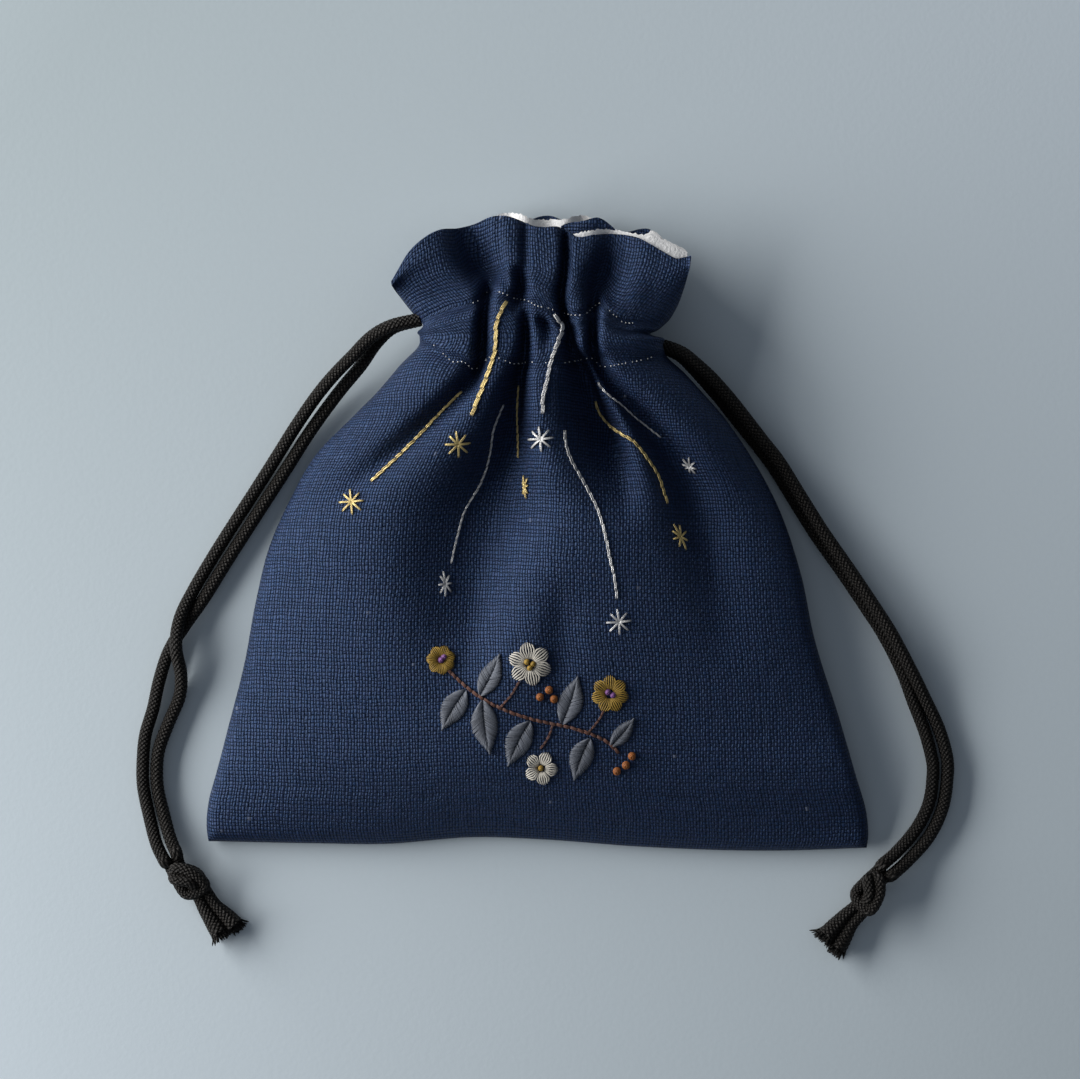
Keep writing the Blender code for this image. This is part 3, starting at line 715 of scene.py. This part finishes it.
def cloth_marks(side, grid, width):
    """Each grid point's place on the flat cloth, in metres."""
    along = np.linalg.norm(np.diff(grid, axis=0), axis=2)
    along = 0.4 * along.mean(axis=1, keepdims=True) + 0.6 * along
    marks = np.zeros_like(grid)
    wide = np.linalg.norm(np.diff(grid, axis=1), axis=2).sum(axis=1)
    share = np.clip(wide / width, 0.4, 1.0)[:, None]
    across = (np.linspace(-0.5, 0.5, grid.shape[1]) * width)[None, :]
    marks[..., 0] = across * share + (0.4 if side < 0 else 0.1)
    marks[1:, :, 1] = np.cumsum(along, axis=0)
    return marks


def grid_quads(rows, columns):
    """The numbers of a grid's points, and the quads between them."""
    index = np.arange(rows * columns).reshape(rows, columns)
    corners = index[:-1, :-1], index[:-1, 1:], index[1:, 1:], index[1:, :-1]
    return index, np.stack(corners, -1).reshape(-1, 4)


def sheet_shell(upper, lower, marks):
    """Points, faces and marks of a closed sheet between two grids of points."""
    index, top = grid_quads(*upper.shape[:2])
    count = index.size
    points = np.concatenate([upper.reshape(-1, 3), lower.reshape(-1, 3)])
    border = np.concatenate([index[0, :], index[1:, -1], index[-1, -2::-1], index[-2:0:-1, 0]])
    following = np.roll(border, -1)
    rim = np.stack([border, border + count, following + count, following], -1)
    faces = np.concatenate([top, top[:, ::-1] + count, rim])
    return points, faces, np.concatenate([marks.reshape(-1, 3)] * 2)


def sheet_mesh(name, shells, material):
    """One piece of cloth from one or more closed sheets."""
    starts = np.cumsum([0] + [len(points) for points, _, _ in shells])
    points, marks = (np.concatenate([shell[k] for shell in shells]) for k in (0, 2))
    faces = np.concatenate([faces + start for (_, faces, _), start in zip(shells, starts)])
    return mesh_piece(name, points, faces, material, "cloth", marks)


# The fold of the front's rim between its two lobes: pixel x, pixel y of its rim and of its foot, height
# in millimetres
RIM_FOLD = (
    (561, 226.0, 233, 8.8), (566, 223.6, 236, 9.0), (572, 222.4, 240, 9.7), (579, 221.6, 239, 10.8),
    (586, 220.0, 238, 11.3), (592, 218.2, 237, 11.4), (597, 217.4, 237, 11.2), (603, 219.4, 237, 10.8),
    (610, 224.6, 237, 10.5), (617, 231.0, 237, 10.3),
)


def rim_fold():
    rows, columns = 13, 41
    across = np.linspace(RIM_FOLD[0][0], RIM_FOLD[-1][0], columns)
    rim, foot, height = (curve_value([(p[0], p[k]) for p in RIM_FOLD], across) for k in (1, 2, 3))
    share = np.linspace(0, 1, rows)[:, None]
    grid = np.zeros((rows, columns, 3))
    grid[..., 0], grid[..., 1] = place(across[None, :], foot + (rim - foot) * share)
    grid[..., 2] = (height - (1 - share) ** 2) * MM
    under = grid - (0.0, 0.0, LINEN_THICKNESS * MM)
    marks = grid + (0.3, 0.0, 0.0)
    return sheet_shell(seen_in_place(grid), seen_in_place(under), marks)


def mesh_piece(name, points, faces, material, attribute, values, sharp=75.0):
    """An object from points and equal-sided faces, carrying one vector attribute."""
    corners = faces.shape[1]
    mesh = bpy.data.meshes.new(name)
    mesh.vertices.add(len(points))
    mesh.vertices.foreach_set("co", np.ascontiguousarray(points, dtype=np.float32).ravel())
    mesh.loops.add(faces.size)
    mesh.loops.foreach_set("vertex_index", np.ascontiguousarray(faces, dtype=np.int32).ravel())
    mesh.polygons.add(len(faces))
    mesh.polygons.foreach_set("loop_start", np.arange(0, faces.size, corners, dtype=np.int32))
    mesh.update(calc_edges=True)
    kept = mesh.attributes.new(attribute, "FLOAT_VECTOR", "POINT")
    kept.data.foreach_set("vector", np.ascontiguousarray(values, dtype=np.float32).ravel())
    mesh.materials.append(material)
    mesh.shade_smooth()
    mesh.set_sharp_from_angle(angle=math.radians(sharp))
    mesh.validate()
    return add_object(name, mesh)


def hand_over(piece, slot, *nodes):
    """Attaches a piece to the root and hides the CAD nodes that it stands for. slot is not used."""
    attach(piece, "root")
    for node in nodes:
        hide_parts(node)


def panel_shell(side, over, under, width):
    marks = cloth_marks(side, over, width)
    upper, lower = (over, under) if side > 0 else (under, over)
    return sheet_shell(upper, lower, marks)


def linen_panel(side, word, material):
    """A linen panel, drawn in along its two rows of stitches. Returns its outer face."""
    levels = levels_from(BAG_BOTTOM, 1.2, 0.56)
    faces = cloth_faces(side, linen_rows, levels, 236, FRONT_RIM if side > 0 else BACK_RIM)
    rows = (LOWER_STITCHES, UPPER_STITCHES)
    pinch = sum(0.9 * np.exp(-(((levels - line) / 1.3) ** 2)) for line in rows)
    held = 1 - np.abs(np.linspace(-1, 1, faces[0].shape[1])) ** 6
    for face in faces:
        face[..., 2] -= side * pinch[:, None] * held[None, :]
    over, under = (seen_in_place(smoothed(face, 2) * MM) for face in faces)
    shells = [panel_shell(side, over, under, BAG_WIDTH)] + ([rim_fold()] if side > 0 else [])
    piece = sheet_mesh(f"{word}_linen", shells, material)
    hand_over(piece, "linen", f"outer_{word}")
    return over


def lining_panel(side, word, material):
    """A lining panel with a ragged nap along its rim."""
    rim = FRONT_LINING_RIM if side > 0 else BACK_LINING_RIM
    faces = cloth_faces(side, lining_rows, levels_from(-84.0, 2.0, 0.9), 190, rim)
    nap = rng.normal(0, 0.16, faces[0].shape[1])
    for face in faces:
        face[-1, :, 1] += nap
    over, under = (seen_in_place(smoothed(face, 1) * MM) for face in faces)
    shell = panel_shell(side, over, under, LINING_FLAT[0])
    piece = sheet_mesh(f"{word}_lining", [shell], material)
    hand_over(piece, "lining", f"lining_{word}")


# Round pieces: cords, knots, yarns and threads are rings of points swept along a path


def smooth_curve(points, step):
    """Points at even steps along a smooth curve through the given ones."""
    points = np.asarray(points, float)
    padded = np.vstack([2 * points[0] - points[1], points, 2 * points[-1] - points[-2]])
    found = [points[:1]]
    t = np.linspace(0, 1, 25)[1:, None]
    for before, start, stop, after in zip(padded, padded[1:], padded[2:], padded[3:]):
        lead = (stop - before) / 2 * t * (1 - t) ** 2 - (after - start) / 2 * t * t * (1 - t)
        found.append(start + (stop - start) * smooth(t) + lead)
    close = np.vstack(found)
    gone = distances(close)
    wanted = np.linspace(0, gone[-1], max(int(gone[-1] / step) + 1, 3))
    return np.stack([np.interp(wanted, gone, close[:, k]) for k in range(3)], 1)


def swept_frames(path):
    """Two directions across a path at each of its points, without twist."""
    tangent = np.gradient(path, axis=0)
    tangent /= np.maximum(np.linalg.norm(tangent, axis=1, keepdims=True), 1e-12)
    first = np.zeros_like(path)
    guess = np.array([0.0, 0.0, 1.0])
    for i, way in enumerate(tangent):
        guess = guess - way * guess.dot(way)
        if np.linalg.norm(guess) < 1e-6:
            guess = np.cross(way, (1.0, 0.0, 0.0))
        guess = guess / np.linalg.norm(guess)
        first[i] = guess
    return tangent, first, np.cross(tangent, first)


class Sweep:
    """Gathers swept rings into one mesh."""

    def __init__(self):
        self.points, self.faces, self.marks, self.count = [], [], [], 0

    def rings(self, path, radii, sides, marks, flat=1.0):
        """radii is one value for each ring, or one for each point of each ring."""
        path = np.asarray(path, float)
        _, up, across = swept_frames(path)
        angle = np.linspace(0, 2 * math.pi, sides, endpoint=False) + math.pi
        radii = np.asarray(radii, float)
        radii = radii[:, None] * np.ones(sides) if radii.ndim == 1 else radii
        rise, sway = np.cos(angle) * flat, np.sin(angle)
        outwards = up[:, None] * rise[:, None] + across[:, None] * sway[:, None]
        ring = path[:, None] + radii[..., None] * outwards
        n = len(path)
        ends = np.stack([path[0], path[-1]])
        index = np.arange(n * sides).reshape(n, sides) + self.count
        turned = np.roll(index, -1, axis=1)
        a, b, c, d = index[:-1], turned[:-1], turned[1:], index[1:]
        wall = np.stack([np.stack([a, b, c], -1), np.stack([a, c, d], -1)], 0).reshape(-1, 3)
        low = np.full(sides, self.count + n * sides)
        caps = [np.stack([turned[0], index[0], low], -1), np.stack([index[-1], turned[-1], low + 1], -1)]
        self.points.append(np.vstack([ring.reshape(-1, 3), ends]))
        self.faces.append(np.vstack([wall, *caps]))
        marks = np.asarray(marks, float)
        self.marks.append(np.vstack([marks.reshape(-1, 3), marks[0, :1], marks[-1, :1]]))
        self.count += n * sides + 2

    def thread(self, path, radius, tone, sides=6, flat=1.0, taper=0.25):
        """A thread with rounded ends. tone, from 0 to 1, sets it apart from its neighbours."""
        path = np.asarray(path, float)
        n = len(path)
        share = np.linspace(0, 1, n)
        ends = np.minimum(share, 1 - share) / taper
        radii = radius * np.sqrt(np.clip(1 - (1 - np.clip(ends, 0, 1)) ** 2, 0.12, 1))
        marks = np.zeros((n, sides, 3))
        marks[..., 0] = distances(path)[:, None] + tone * 3.1
        marks[..., 1] = np.cos(np.linspace(0, 2 * math.pi, sides, endpoint=False))[None, :]
        marks[..., 2] = tone
        self.rings(path, radii, sides, marks, flat)

    def piece(self, name, material, attribute):
        points, faces, marks = (np.vstack(v) for v in (self.points, self.faces, self.marks))
        return mesh_piece(name, points, faces, material, attribute, marks, sharp=180.0)


def braid(sweep, path, radii):
    """A round braid whose plaits pass over and under one another."""
    shape = (len(path), BRAID_SIDES)
    gone = distances(path)[:, None]
    angle = np.linspace(0, 2 * math.pi, BRAID_SIDES, endpoint=False)[None, :]
    one = PLAITS * angle / (2 * math.pi) + gone / PLAIT_PITCH
    two = PLAITS * angle / (2 * math.pi) - gone / PLAIT_PITCH + 100.0
    hump_one = np.sin(math.pi * (one % 1.0))
    hump_two = np.sin(math.pi * (two % 1.0))
    over = (np.floor(one) + np.floor(two)) % 2.0
    first, second = hump_one * (0.55 + 0.45 * hump_two), hump_two * (0.55 + 0.45 * hump_one)
    relief = np.where(over > 0.5, first, second)
    width = np.asarray(radii)[:, None] * (0.90 + 0.13 * relief)
    marks = np.stack([np.broadcast_to(gone, shape), np.broadcast_to(angle, shape), relief], -1)
    sweep.rings(path, width, BRAID_SIDES, marks)


def even_braid(name, path, material):
    """One length of cord at its full diameter."""
    sweep = Sweep()
    braid(sweep, path, np.full(len(path), CORD_DIAMETER / 2))
    return sweep.piece(name, material, "plait")


def drawcord(name, strand, nodes, material):
    """One free strand, from the casing's end to the knot."""
    points = np.array([(x, y, z + CORD_DIAMETER / 2) for x, y, z in strand])
    hand = math.copysign(1.0, points[0][0])
    high = 1 if name.endswith("front") else -1
    inside = (
        hand * STRAND_START,
        CASING_MIDDLE - hand * CORD_ASIDE,
        NECK_MIDDLE_Z * MM + high * STRAND_RISE,
    )
    path = smooth_curve(np.vstack([inside, points]), CORD_STEP)
    piece = even_braid(name, path, material)
    hand_over(piece, "braid", *nodes)


def casing_run(word, hand, material):
    """A cord's run through the casing, its turn at the far end and its run back, hidden by cloth."""
    y, middle = CASING_MIDDLE - hand * CORD_ASIDE, NECK_MIDDLE_Z * MM
    near, far = hand * RUN_NEAR_END, -hand * RUN_FAR_END
    high, low = middle + RUN_RISE, middle - RUN_RISE
    points = [(near, y, high), (0.0, y, high), (far, y, high), (far - hand * RUN_TURN, y, middle)]
    points += [(far, y, low), (0.0, y, low), (near, y, low)]
    piece = even_braid(f"casing_run_{word}", smooth_curve(points, 2 * CORD_STEP), material)
    hand_over(piece, "braid", f"drawcord_{word}")


# A knot's middle line as (ahead, aside, up) in millimetres. Its other sizes are in metres, and the
# splay of its tails in radians.
KNOT_PATH = (
    (-7.4, 0.0, 2.4), (-4.4, -0.7, 2.9), (-1.0, -1.3, 3.1), (2.4, -1.4, 3.3), (4.2, 0.3, 4.2),
    (2.4, 2.1, 5.2), (-0.6, 0.8, 6.0), (-3.2, -1.5, 5.4), (-3.9, -2.4, 3.4), (-2.0, -0.6, 2.1),
    (0.6, 1.4, 2.1), (3.6, 1.1, 2.5), (6.4, 0.0, 2.6),
)
KNOT_STRAND = 0.00164
PAIR_OFFSET = 0.00130
TAIL_TIP = 0.00250
TAIL_SPLAY = 0.10
TAIL_STEPS = (0.003, 0.006, 0.009, 0.0108)
TAIL_DROP = 0.0007
KNOT_AHEAD = 0.0074
YARNS = 110
CLUMPS = 6


def knot(name, heading, front, back, node, material):
    """An overhand knot of both strands, and their frayed ends."""
    ahead = np.array((math.cos(heading), math.sin(heading), 0.0))
    aside = np.array((-ahead[1], ahead[0], 0.0))
    centres = [np.array(strand) + (0.0, 0.0, CORD_DIAMETER / 2) for strand in (front, back)]
    ends = [centre[-1] for centre in centres]
    middle = (ends[0] + ends[1]) / 2 + ahead * KNOT_AHEAD
    middle[2] = 0.0
    lane = np.array([middle + (a * ahead + b * aside) * MM + (0, 0, c * MM) for a, b, c in KNOT_PATH])
    pair = smooth_curve(lane, CORD_STEP)
    tangent = swept_frames(pair)[0]
    flatwise = np.cross(tangent, (0.0, 0.0, 1.0))
    flatwise /= np.maximum(np.linalg.norm(flatwise, axis=1, keepdims=True), 1e-9)
    sweep = Sweep()
    for centre, other in (centres, reversed(centres)):
        hand = -1 if (centre[-1] - other[-1]).dot(aside) > 0 else 1
        strand = pair + flatwise * (PAIR_OFFSET * hand)
        way = ahead * math.cos(TAIL_SPLAY) - aside * (hand * math.sin(TAIL_SPLAY))
        tail = [strand[-1] + way * d - (0, 0, TAIL_DROP * d / TAIL_STEPS[-1]) for d in TAIL_STEPS]
        lead = centre[-1] + (centre[-2] - centre[-1]) * 0.25
        path = smooth_curve(np.vstack([lead, centre[-1], strand[6::14], tail]), CORD_STEP)
        share = np.linspace(0, 1, len(path))
        radii = KNOT_STRAND + (CORD_DIAMETER / 2 * 1.01 - KNOT_STRAND) * (1 - between(share, 0.02, 0.10))
        radii = radii + (TAIL_TIP - KNOT_STRAND) * between(share, 0.80, 1.0)
        path[:, 2] = np.maximum(path[:, 2], radii * 0.9)
        braid(sweep, path, radii)
        frayed(sweep, path[-1], path[-1] - path[-8])
    piece = sweep.piece(name, material, "plait")
    hand_over(piece, "braid", node)
    return piece


def frayed(sweep, tip, way):
    """The cut end of a strand: yarns that lean outwards in a few clumps."""
    way = way / np.linalg.norm(way)
    side, up = np.cross(way, (0, 0, 1.0)), np.array((0, 0, 1.0))
    sag = np.array((0.0, 0.1, 0.3, 0.6)) * 0.001
    clumps = rng.uniform(0, 2 * math.pi, CLUMPS)
    for _ in range(YARNS):
        turn = clumps[rng.integers(CLUMPS)] + rng.normal(0, 0.45)
        out = math.sqrt(rng.uniform(0, 1))
        lean = side * math.cos(turn) + up * math.sin(turn)
        root = tip + lean * out * TAIL_TIP * 0.88 - way * 0.0016
        reach = rng.uniform(0.0020, 0.0042)
        drift = lean * rng.uniform(0.0, 0.55) * out + side * rng.normal(0, 0.08)
        yarn = np.array([root + (way * t + drift * t * t) * reach for t in (0.0, 0.35, 0.7, 1.0)])
        yarn[:, 2] = np.maximum(yarn[:, 2] - sag, 0.00026)
        radius, tone = rng.uniform(0.00018, 0.00028), rng.uniform(0, 0.5)
        sweep.thread(smooth_curve(yarn, 0.0006), radius, tone, sides=5, taper=0.12)


def cords(material):
    strands = (
        ("left", LEFT_FRONT_STRAND, LEFT_BACK_STRAND, math.radians(-52)),
        ("right", RIGHT_FRONT_STRAND, RIGHT_BACK_STRAND, math.radians(-127)),
    )
    for word, front, back, heading in strands:
        tied = knot(f"cord_knot_{word}", heading, front, back, f"knot_{word}", material)
        drawcord(f"cord_{word}_front", front, (f"drawcord_{word}",), material)
        drawcord(f"cord_{word}_back", back, (), material)
    casing_run("left", -1, material)
    casing_run("right", 1, material)


# Needlework, laid on the front where the photograph shows it


class Needle:
    """Finds the cloth under a pixel of the photograph and lays threads on it."""

    def __init__(self, grid):
        quads = grid_quads(*grid.shape[:2])[1]
        self.tree = BVHTree.FromPolygons(grid.reshape(-1, 3).tolist(), quads.tolist())
        self.eye = Vector(EYE)

    def spot(self, px, py, lift):
        """The point this far over the cloth that a pixel shows, or None off the cloth."""
        x, y = place(px, py)
        way = (Vector((x, y, 0.0)) - self.eye).normalized()
        hit, normal, _, _ = self.tree.ray_cast(self.eye, way)
        if hit is None:
            return None
        if normal.z < 0:
            normal = -normal
        return np.array(hit) + np.array(normal) * lift

    def lay(self, sweep, pixels, radius, lift, tone, arch, flat=0.8, taper=0.25):
        """One thread over the given pixels. lift is its centre's height over the cloth."""
        pixels = np.asarray(pixels, float)
        count = max(int(np.linalg.norm(np.diff(pixels, axis=0), axis=1).sum() / 2.4) + 2, 4)
        t = np.linspace(0, 1, count)
        steps = np.linspace(0, 1, len(pixels))
        line = np.stack([np.interp(t, steps, pixels[:, k]) for k in range(2)], 1)
        rise = lift + arch * np.sin(math.pi * t)
        found = [self.spot(x, y, h) for (x, y), h in zip(line, rise)]
        found = [p for p in found if p is not None]
        if len(found) > 2:
            sweep.thread(found, radius, tone, flat=flat, taper=taper)


def pixel_curve(points, step):
    """Even steps along a smooth line of pixels."""
    return smooth_curve([(x, y, 0.0) for x, y in points], step)[:, :2]


def stem_line(needle, sweep, points, stitch, width, radius, strands):
    """Overlapping slanted stitches along a line, each a few strands side by side."""
    step = 0.5
    line = pixel_curve(points, step)
    reach, advance = int(stitch / step), int(stitch * 0.80 / step)
    for first in range(0, max(len(line) - advance, 1), advance):
        part = line[first : first + reach + int(rng.integers(-1, 2))]
        if len(part) < 4:
            continue
        way = part[-1] - part[0]
        side = np.array((-way[1], way[0])) / max(np.linalg.norm(way), 1e-6)
        slant = np.linspace(-0.5, 0.5, len(part))[:, None] * width * 0.40
        for k in range(strands):
            off = (k - (strands - 1) / 2) * width / strands + rng.normal(0, 0.08)
            stitched = (part + side * (off + slant))[::3]
            needle.lay(sweep, stitched, radius, radius * 0.9, rng.uniform(0, 1), 0.00012)


def star(needle, sweep, centre, arms, radius):
    """A star of arms that meet at its centre, each two strands side by side."""
    for dx, dy in arms:
        inner = np.array(centre) - 0.06 * np.array((dx, dy))
        outer = np.array(centre) + np.array((dx, dy))
        side = np.array((-dy, dx)) / math.hypot(dx, dy)
        for k in (-0.5, 0.5):
            off = side * k * 0.95
            ends = [inner + off, outer + off * 0.9]
            needle.lay(sweep, ends, radius * 0.86, radius, rng.uniform(0, 1), 0.0003)


# Each trail: its pixels, a stitch's length and the line's width in pixels, the thread's radius in
# metres and its strands
GOLD_TRAILS = (
    (((462, 391), (441, 412), (421, 434), (400, 455), (371, 482)), 11.0, 3.2, 0.00021, 2),
    (((506, 301), (497, 322), (496, 339), (495, 351), (490, 369), (482, 390), (478, 399), (471, 418)),
     12.5, 3.5, 0.00021, 3),
    (((518, 385), (517, 412), (518, 432), (519, 461)), 10.0, 2.0, 0.00017, 2),
    (((595, 401), (600, 414), (611, 426), (621, 433), (634, 442), (646, 457), (658, 476), (664, 494),
      (670, 509)), 10.0, 2.6, 0.00019, 2),
)
SILVER_TRAILS = (
    (((503, 404), (493, 430), (489, 457), (481, 482), (465, 510), (458, 533), (452, 559), (451, 566)),
     10.0, 1.8, 0.00015, 2),
    (((553, 315), (562, 327), (558, 341), (551, 361), (547, 380), (543, 398), (543, 414)),
     12.0, 3.2, 0.00020, 3),
    (((564, 430), (566, 446), (571, 460), (581, 478), (590, 494), (598, 511), (605, 534), (610, 559),
      (614, 576), (617, 599)), 11.0, 2.8, 0.00018, 2),
    (((598, 382), (606, 393), (622, 406), (635, 418), (647, 427), (662, 438)), 9.0, 1.5, 0.00014, 2),
)

# Each star: its centre and its arms' ends from there, in pixels, and the thread's radius in metres
FULL_STAR = ((-2, -13), (8, -9.5), (12.5, -1.5), (9.5, 8.5), (0.5, 13), (-9.5, 9.5), (-13, 0.5), (-8.5, -8))
GOLD_STARS = (
    ((352, 502), FULL_STAR, 0.00019),
    ((458, 444), FULL_STAR, 0.00022),
    ((525.5, 487), ((-1.5, -12), (2.5, -9), (3.2, -2), (3, 7), (1, 12), (-2, 8), (-2.6, 1), (-2.2, -6)),
     0.00019),
    ((680, 537), ((-7, -13), (-1, -12), (6, -6), (7.5, 4), (6, 13), (-1, 10), (-7, 2), (-8, -6)), 0.00019),
)
SILVER_STARS = (
    ((445, 584), ((-2, -13), (4, -9), (7, -1), (6, 8), (0, 13), (-5, 9), (-7, 1), (-5, -8)), 0.00018),
    ((541, 439), FULL_STAR, 0.00020),
    ((619, 622), FULL_STAR, 0.00019),
    ((690, 466), ((-7, -7), (-1, -9), (5, -4), (7, 3), (6, 8), (0, 7), (-5, 3), (-8, -2)), 0.00016),
)

# The two rows of stitches across the neck, in pixels
UPPER_ROW = (
    (471.5, 304), (482, 298.5), (487, 293), (495, 291), (505, 294), (515, 299), (528, 301), (536, 306),
    (550, 309), (562, 312), (573, 315), (583, 315), (590, 310), (601, 303.5), (607, 309), (616, 317),
    (624, 323), (643, 323),
)
LOWER_ROW = (
    (432.6, 344), (437, 346), (442, 350), (445, 355), (453, 362), (464, 362), (474, 369), (487, 360),
    (491.5, 357), (498.5, 358), (507, 361), (513, 363.5), (528, 362), (547, 362.5), (561, 363),
    (575, 361), (590, 358), (602, 366), (622, 364), (643, 360), (655, 356),
)


def neck_stitches(needle, sweep):
    """Short stitches that show here and there along the casing's two rows."""
    for row in (UPPER_ROW, LOWER_ROW):
        line = pixel_curve(row, 0.5)
        at = 3
        while at < len(line) - 4:
            part = line[at : at + int(rng.uniform(3.0, 5.0))]
            needle.lay(sweep, part, 0.00019, 0.00014, rng.uniform(0, 1), 0.00006, taper=0.4)
            at += int(rng.choice((7, 8, 9, 11, 14, 26), p=(0.25, 0.25, 0.2, 0.12, 0.1, 0.08)))


def satin(needle, sweep, left, right, shift):
    """Side-by-side threads between two edges. shift slants them."""
    spacing, radius, arch = 1.45, 0.00021, 0.00035
    a, b = pixel_curve(left, 0.25), pixel_curve(right, 0.25)
    length = max(len(a), len(b)) * 0.25
    count = max(int(length / spacing), 2)
    for k in range(count + 1):
        t = k / count
        pick = min(max(t + shift, 0.0), 1.0)
        start = a[int(t * (len(a) - 1))] + rng.normal(0, 0.22, 2)
        stop = b[int(pick * (len(b) - 1))] + rng.normal(0, 0.22, 2)
        if np.linalg.norm(stop - start) > 1.2:
            ends, tone = [start, stop], rng.uniform(0, 1)
            needle.lay(sweep, ends, radius, radius * 0.8, tone, arch, flat=0.75, taper=0.14)


def leaf(needle, sweep, base, tip, width):
    """A pointed leaf in two halves of slanted satin stitch that meet on its midrib."""
    base, tip = np.array(base, float), np.array(tip, float)
    way = tip - base
    side = np.array((-way[1], way[0])) / np.linalg.norm(way)
    steps = np.linspace(0.0, 1.0, 7)
    rib = [base + way * t + side * (0.06 * width * math.sin(math.pi * t)) for t in steps]
    for hand in (-1, 1):
        edge = [p + side * hand * width / 2 * math.sin(math.pi * t**0.85) for p, t in zip(rib, steps)]
        satin(needle, sweep, rib, edge, 0.16)


def knots_of(needle, sweep, spots, size):
    """French knots: three small rings of thread, one on another."""
    for x, y in spots:
        for turn, (share, lift) in enumerate(((1.0, 0.00025), (0.72, 0.00062), (0.3, 0.00085))):
            r = size * share
            angle = np.linspace(0, 2 * math.pi, 11) + turn
            ring = [needle.spot(x + r * math.cos(t), y + r * math.sin(t), lift) for t in angle]
            ring = [p for p in ring if p is not None]
            if len(ring) > 3:
                sweep.thread(ring, 0.00030, rng.uniform(0, 1), taper=0.05)


def petals(needle, sweep, centre, reach, width, turn, count):
    """Lazy petals: each is a few threads that lie closest at the flower's eye."""
    centre = np.array(centre)
    for k in range(count):
        angle = turn + 2 * math.pi * k / count
        way = np.array((math.cos(angle), math.sin(angle)))
        side = np.array((-way[1], way[0]))
        for off in np.linspace(-1, 1, 6):
            start = centre + way * reach * 0.22 + side * off * width * 0.16
            middle = centre + way * reach * 0.62 + side * off * width * 0.50
            stop = centre + way * reach * (1.0 - 0.12 * off * off) + side * off * width * 0.36
            path, tone = [start, middle, stop], rng.uniform(0, 1)
            needle.lay(sweep, path, 0.00022, 0.0002, tone, 0.00035, taper=0.14)


# Each kind of thread: its piece, its material, colour, metal and roughness
THREADS = {
    "gold": ("gold_trails", "gold_thread", (0.90, 0.64, 0.27), 0.30, 0.28),
    "silver": ("silver_trails", "silver_thread", (0.96, 0.95, 0.96), 0.35, 0.28),
    "tint": ("neck_stitches", "seam_glints", (0.95, 0.96, 0.98), 0.0, 0.5),
    "slate": ("sprig_slate", "slate_cotton", (0.135, 0.150, 0.185), 0.0, 0.62),
    "cream": ("sprig_cream", "cream_cotton", (0.74, 0.70, 0.62), 0.0, 0.62),
    "rust": ("sprig_rust", "rust_cotton", (0.36, 0.115, 0.022), 0.0, 0.62),
    "mauve": ("sprig_mauve", "mauve_cotton", (0.25, 0.10, 0.32), 0.0, 0.62),
    "brown": ("sprig_brown", "brown_cotton", (0.13, 0.055, 0.038), 0.0, 0.62),
    "ochre": ("sprig_ochre", "ochre_cotton", (0.40, 0.25, 0.035), 0.0, 0.62),
}


def needlework(grid):
    """All stitching, laid on the front's outer face. Each kind of thread is one piece."""
    needle = Needle(grid)
    work = {key: Sweep() for key in THREADS}
    for key, trails in (("gold", GOLD_TRAILS), ("silver", SILVER_TRAILS)):
        for trail in trails:
            stem_line(needle, work[key], *trail)
    for key, stars in (("gold", GOLD_STARS), ("silver", SILVER_STARS)):
        for centre, arms, radius in stars:
            star(needle, work[key], centre, arms, radius)
    neck_stitches(needle, work["tint"])
    sprig(needle, work)
    for key, (name, *finish) in THREADS.items():
        piece = work[key].piece(name, thread_material(*finish), "strand")
        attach(piece, "root")


def sprig(needle, work):
    """A plain flowering sprig: stem, leaves, four flowers and berries."""
    stem = ((446, 668), (470, 690), (500, 708), (535, 720), (572, 728), (604, 740), (622, 756))
    stem_line(needle, work["brown"], stem, 9.0, 2.6, 0.00022, 3)
    for twig in (
        ((500, 708), (512, 694), (520, 680)),
        ((553, 724), (548, 738), (538, 752)),
        ((588, 733), (600, 718), (606, 704)),
    ):
        stem_line(needle, work["brown"], twig, 7.0, 1.8, 0.00020, 2)
    for base, tip, width in (
        ((466, 690), (442, 730), 25), ((483, 700), (490, 754), 27), ((480, 696), (500, 654), 22),
        ((530, 721), (508, 766), 26), ((562, 724), (578, 676), 25), ((590, 738), (574, 780), 24),
        ((611, 746), (634, 718), 17),
    ):
        leaf(needle, work["slate"], base, tip, width)
    petals(needle, work["cream"], (530, 664), 22, 14, 0.35, 6)
    petals(needle, work["cream"], (541, 768), 17, 12, 0.1, 5)
    knots_of(needle, work["ochre"], ((527, 662), (533, 664), (530, 668), (541, 768)), 2.0)
    petals(needle, work["ochre"], (441, 660), 15, 10, 0.55, 7)
    petals(needle, work["ochre"], (610, 694), 19, 12, 0.2, 7)
    knots_of(needle, work["mauve"], ((608, 692), (441, 660), (444, 657), (613, 695)), 2.2)
    berries = ((626, 765), (617, 771), (632, 756), (549, 690), (540, 697), (554, 699))
    knots_of(needle, work["rust"], berries, 3.2)


def main():
    add_camera()
    add_stage()
    linen, lining = linen_material(), lining_material()
    front = linen_panel(1, "front", linen)
    linen_panel(-1, "back", linen)
    lining_panel(1, "front", lining)
    lining_panel(-1, "back", lining)
    cords(cord_material())
    needlework(front)


main()
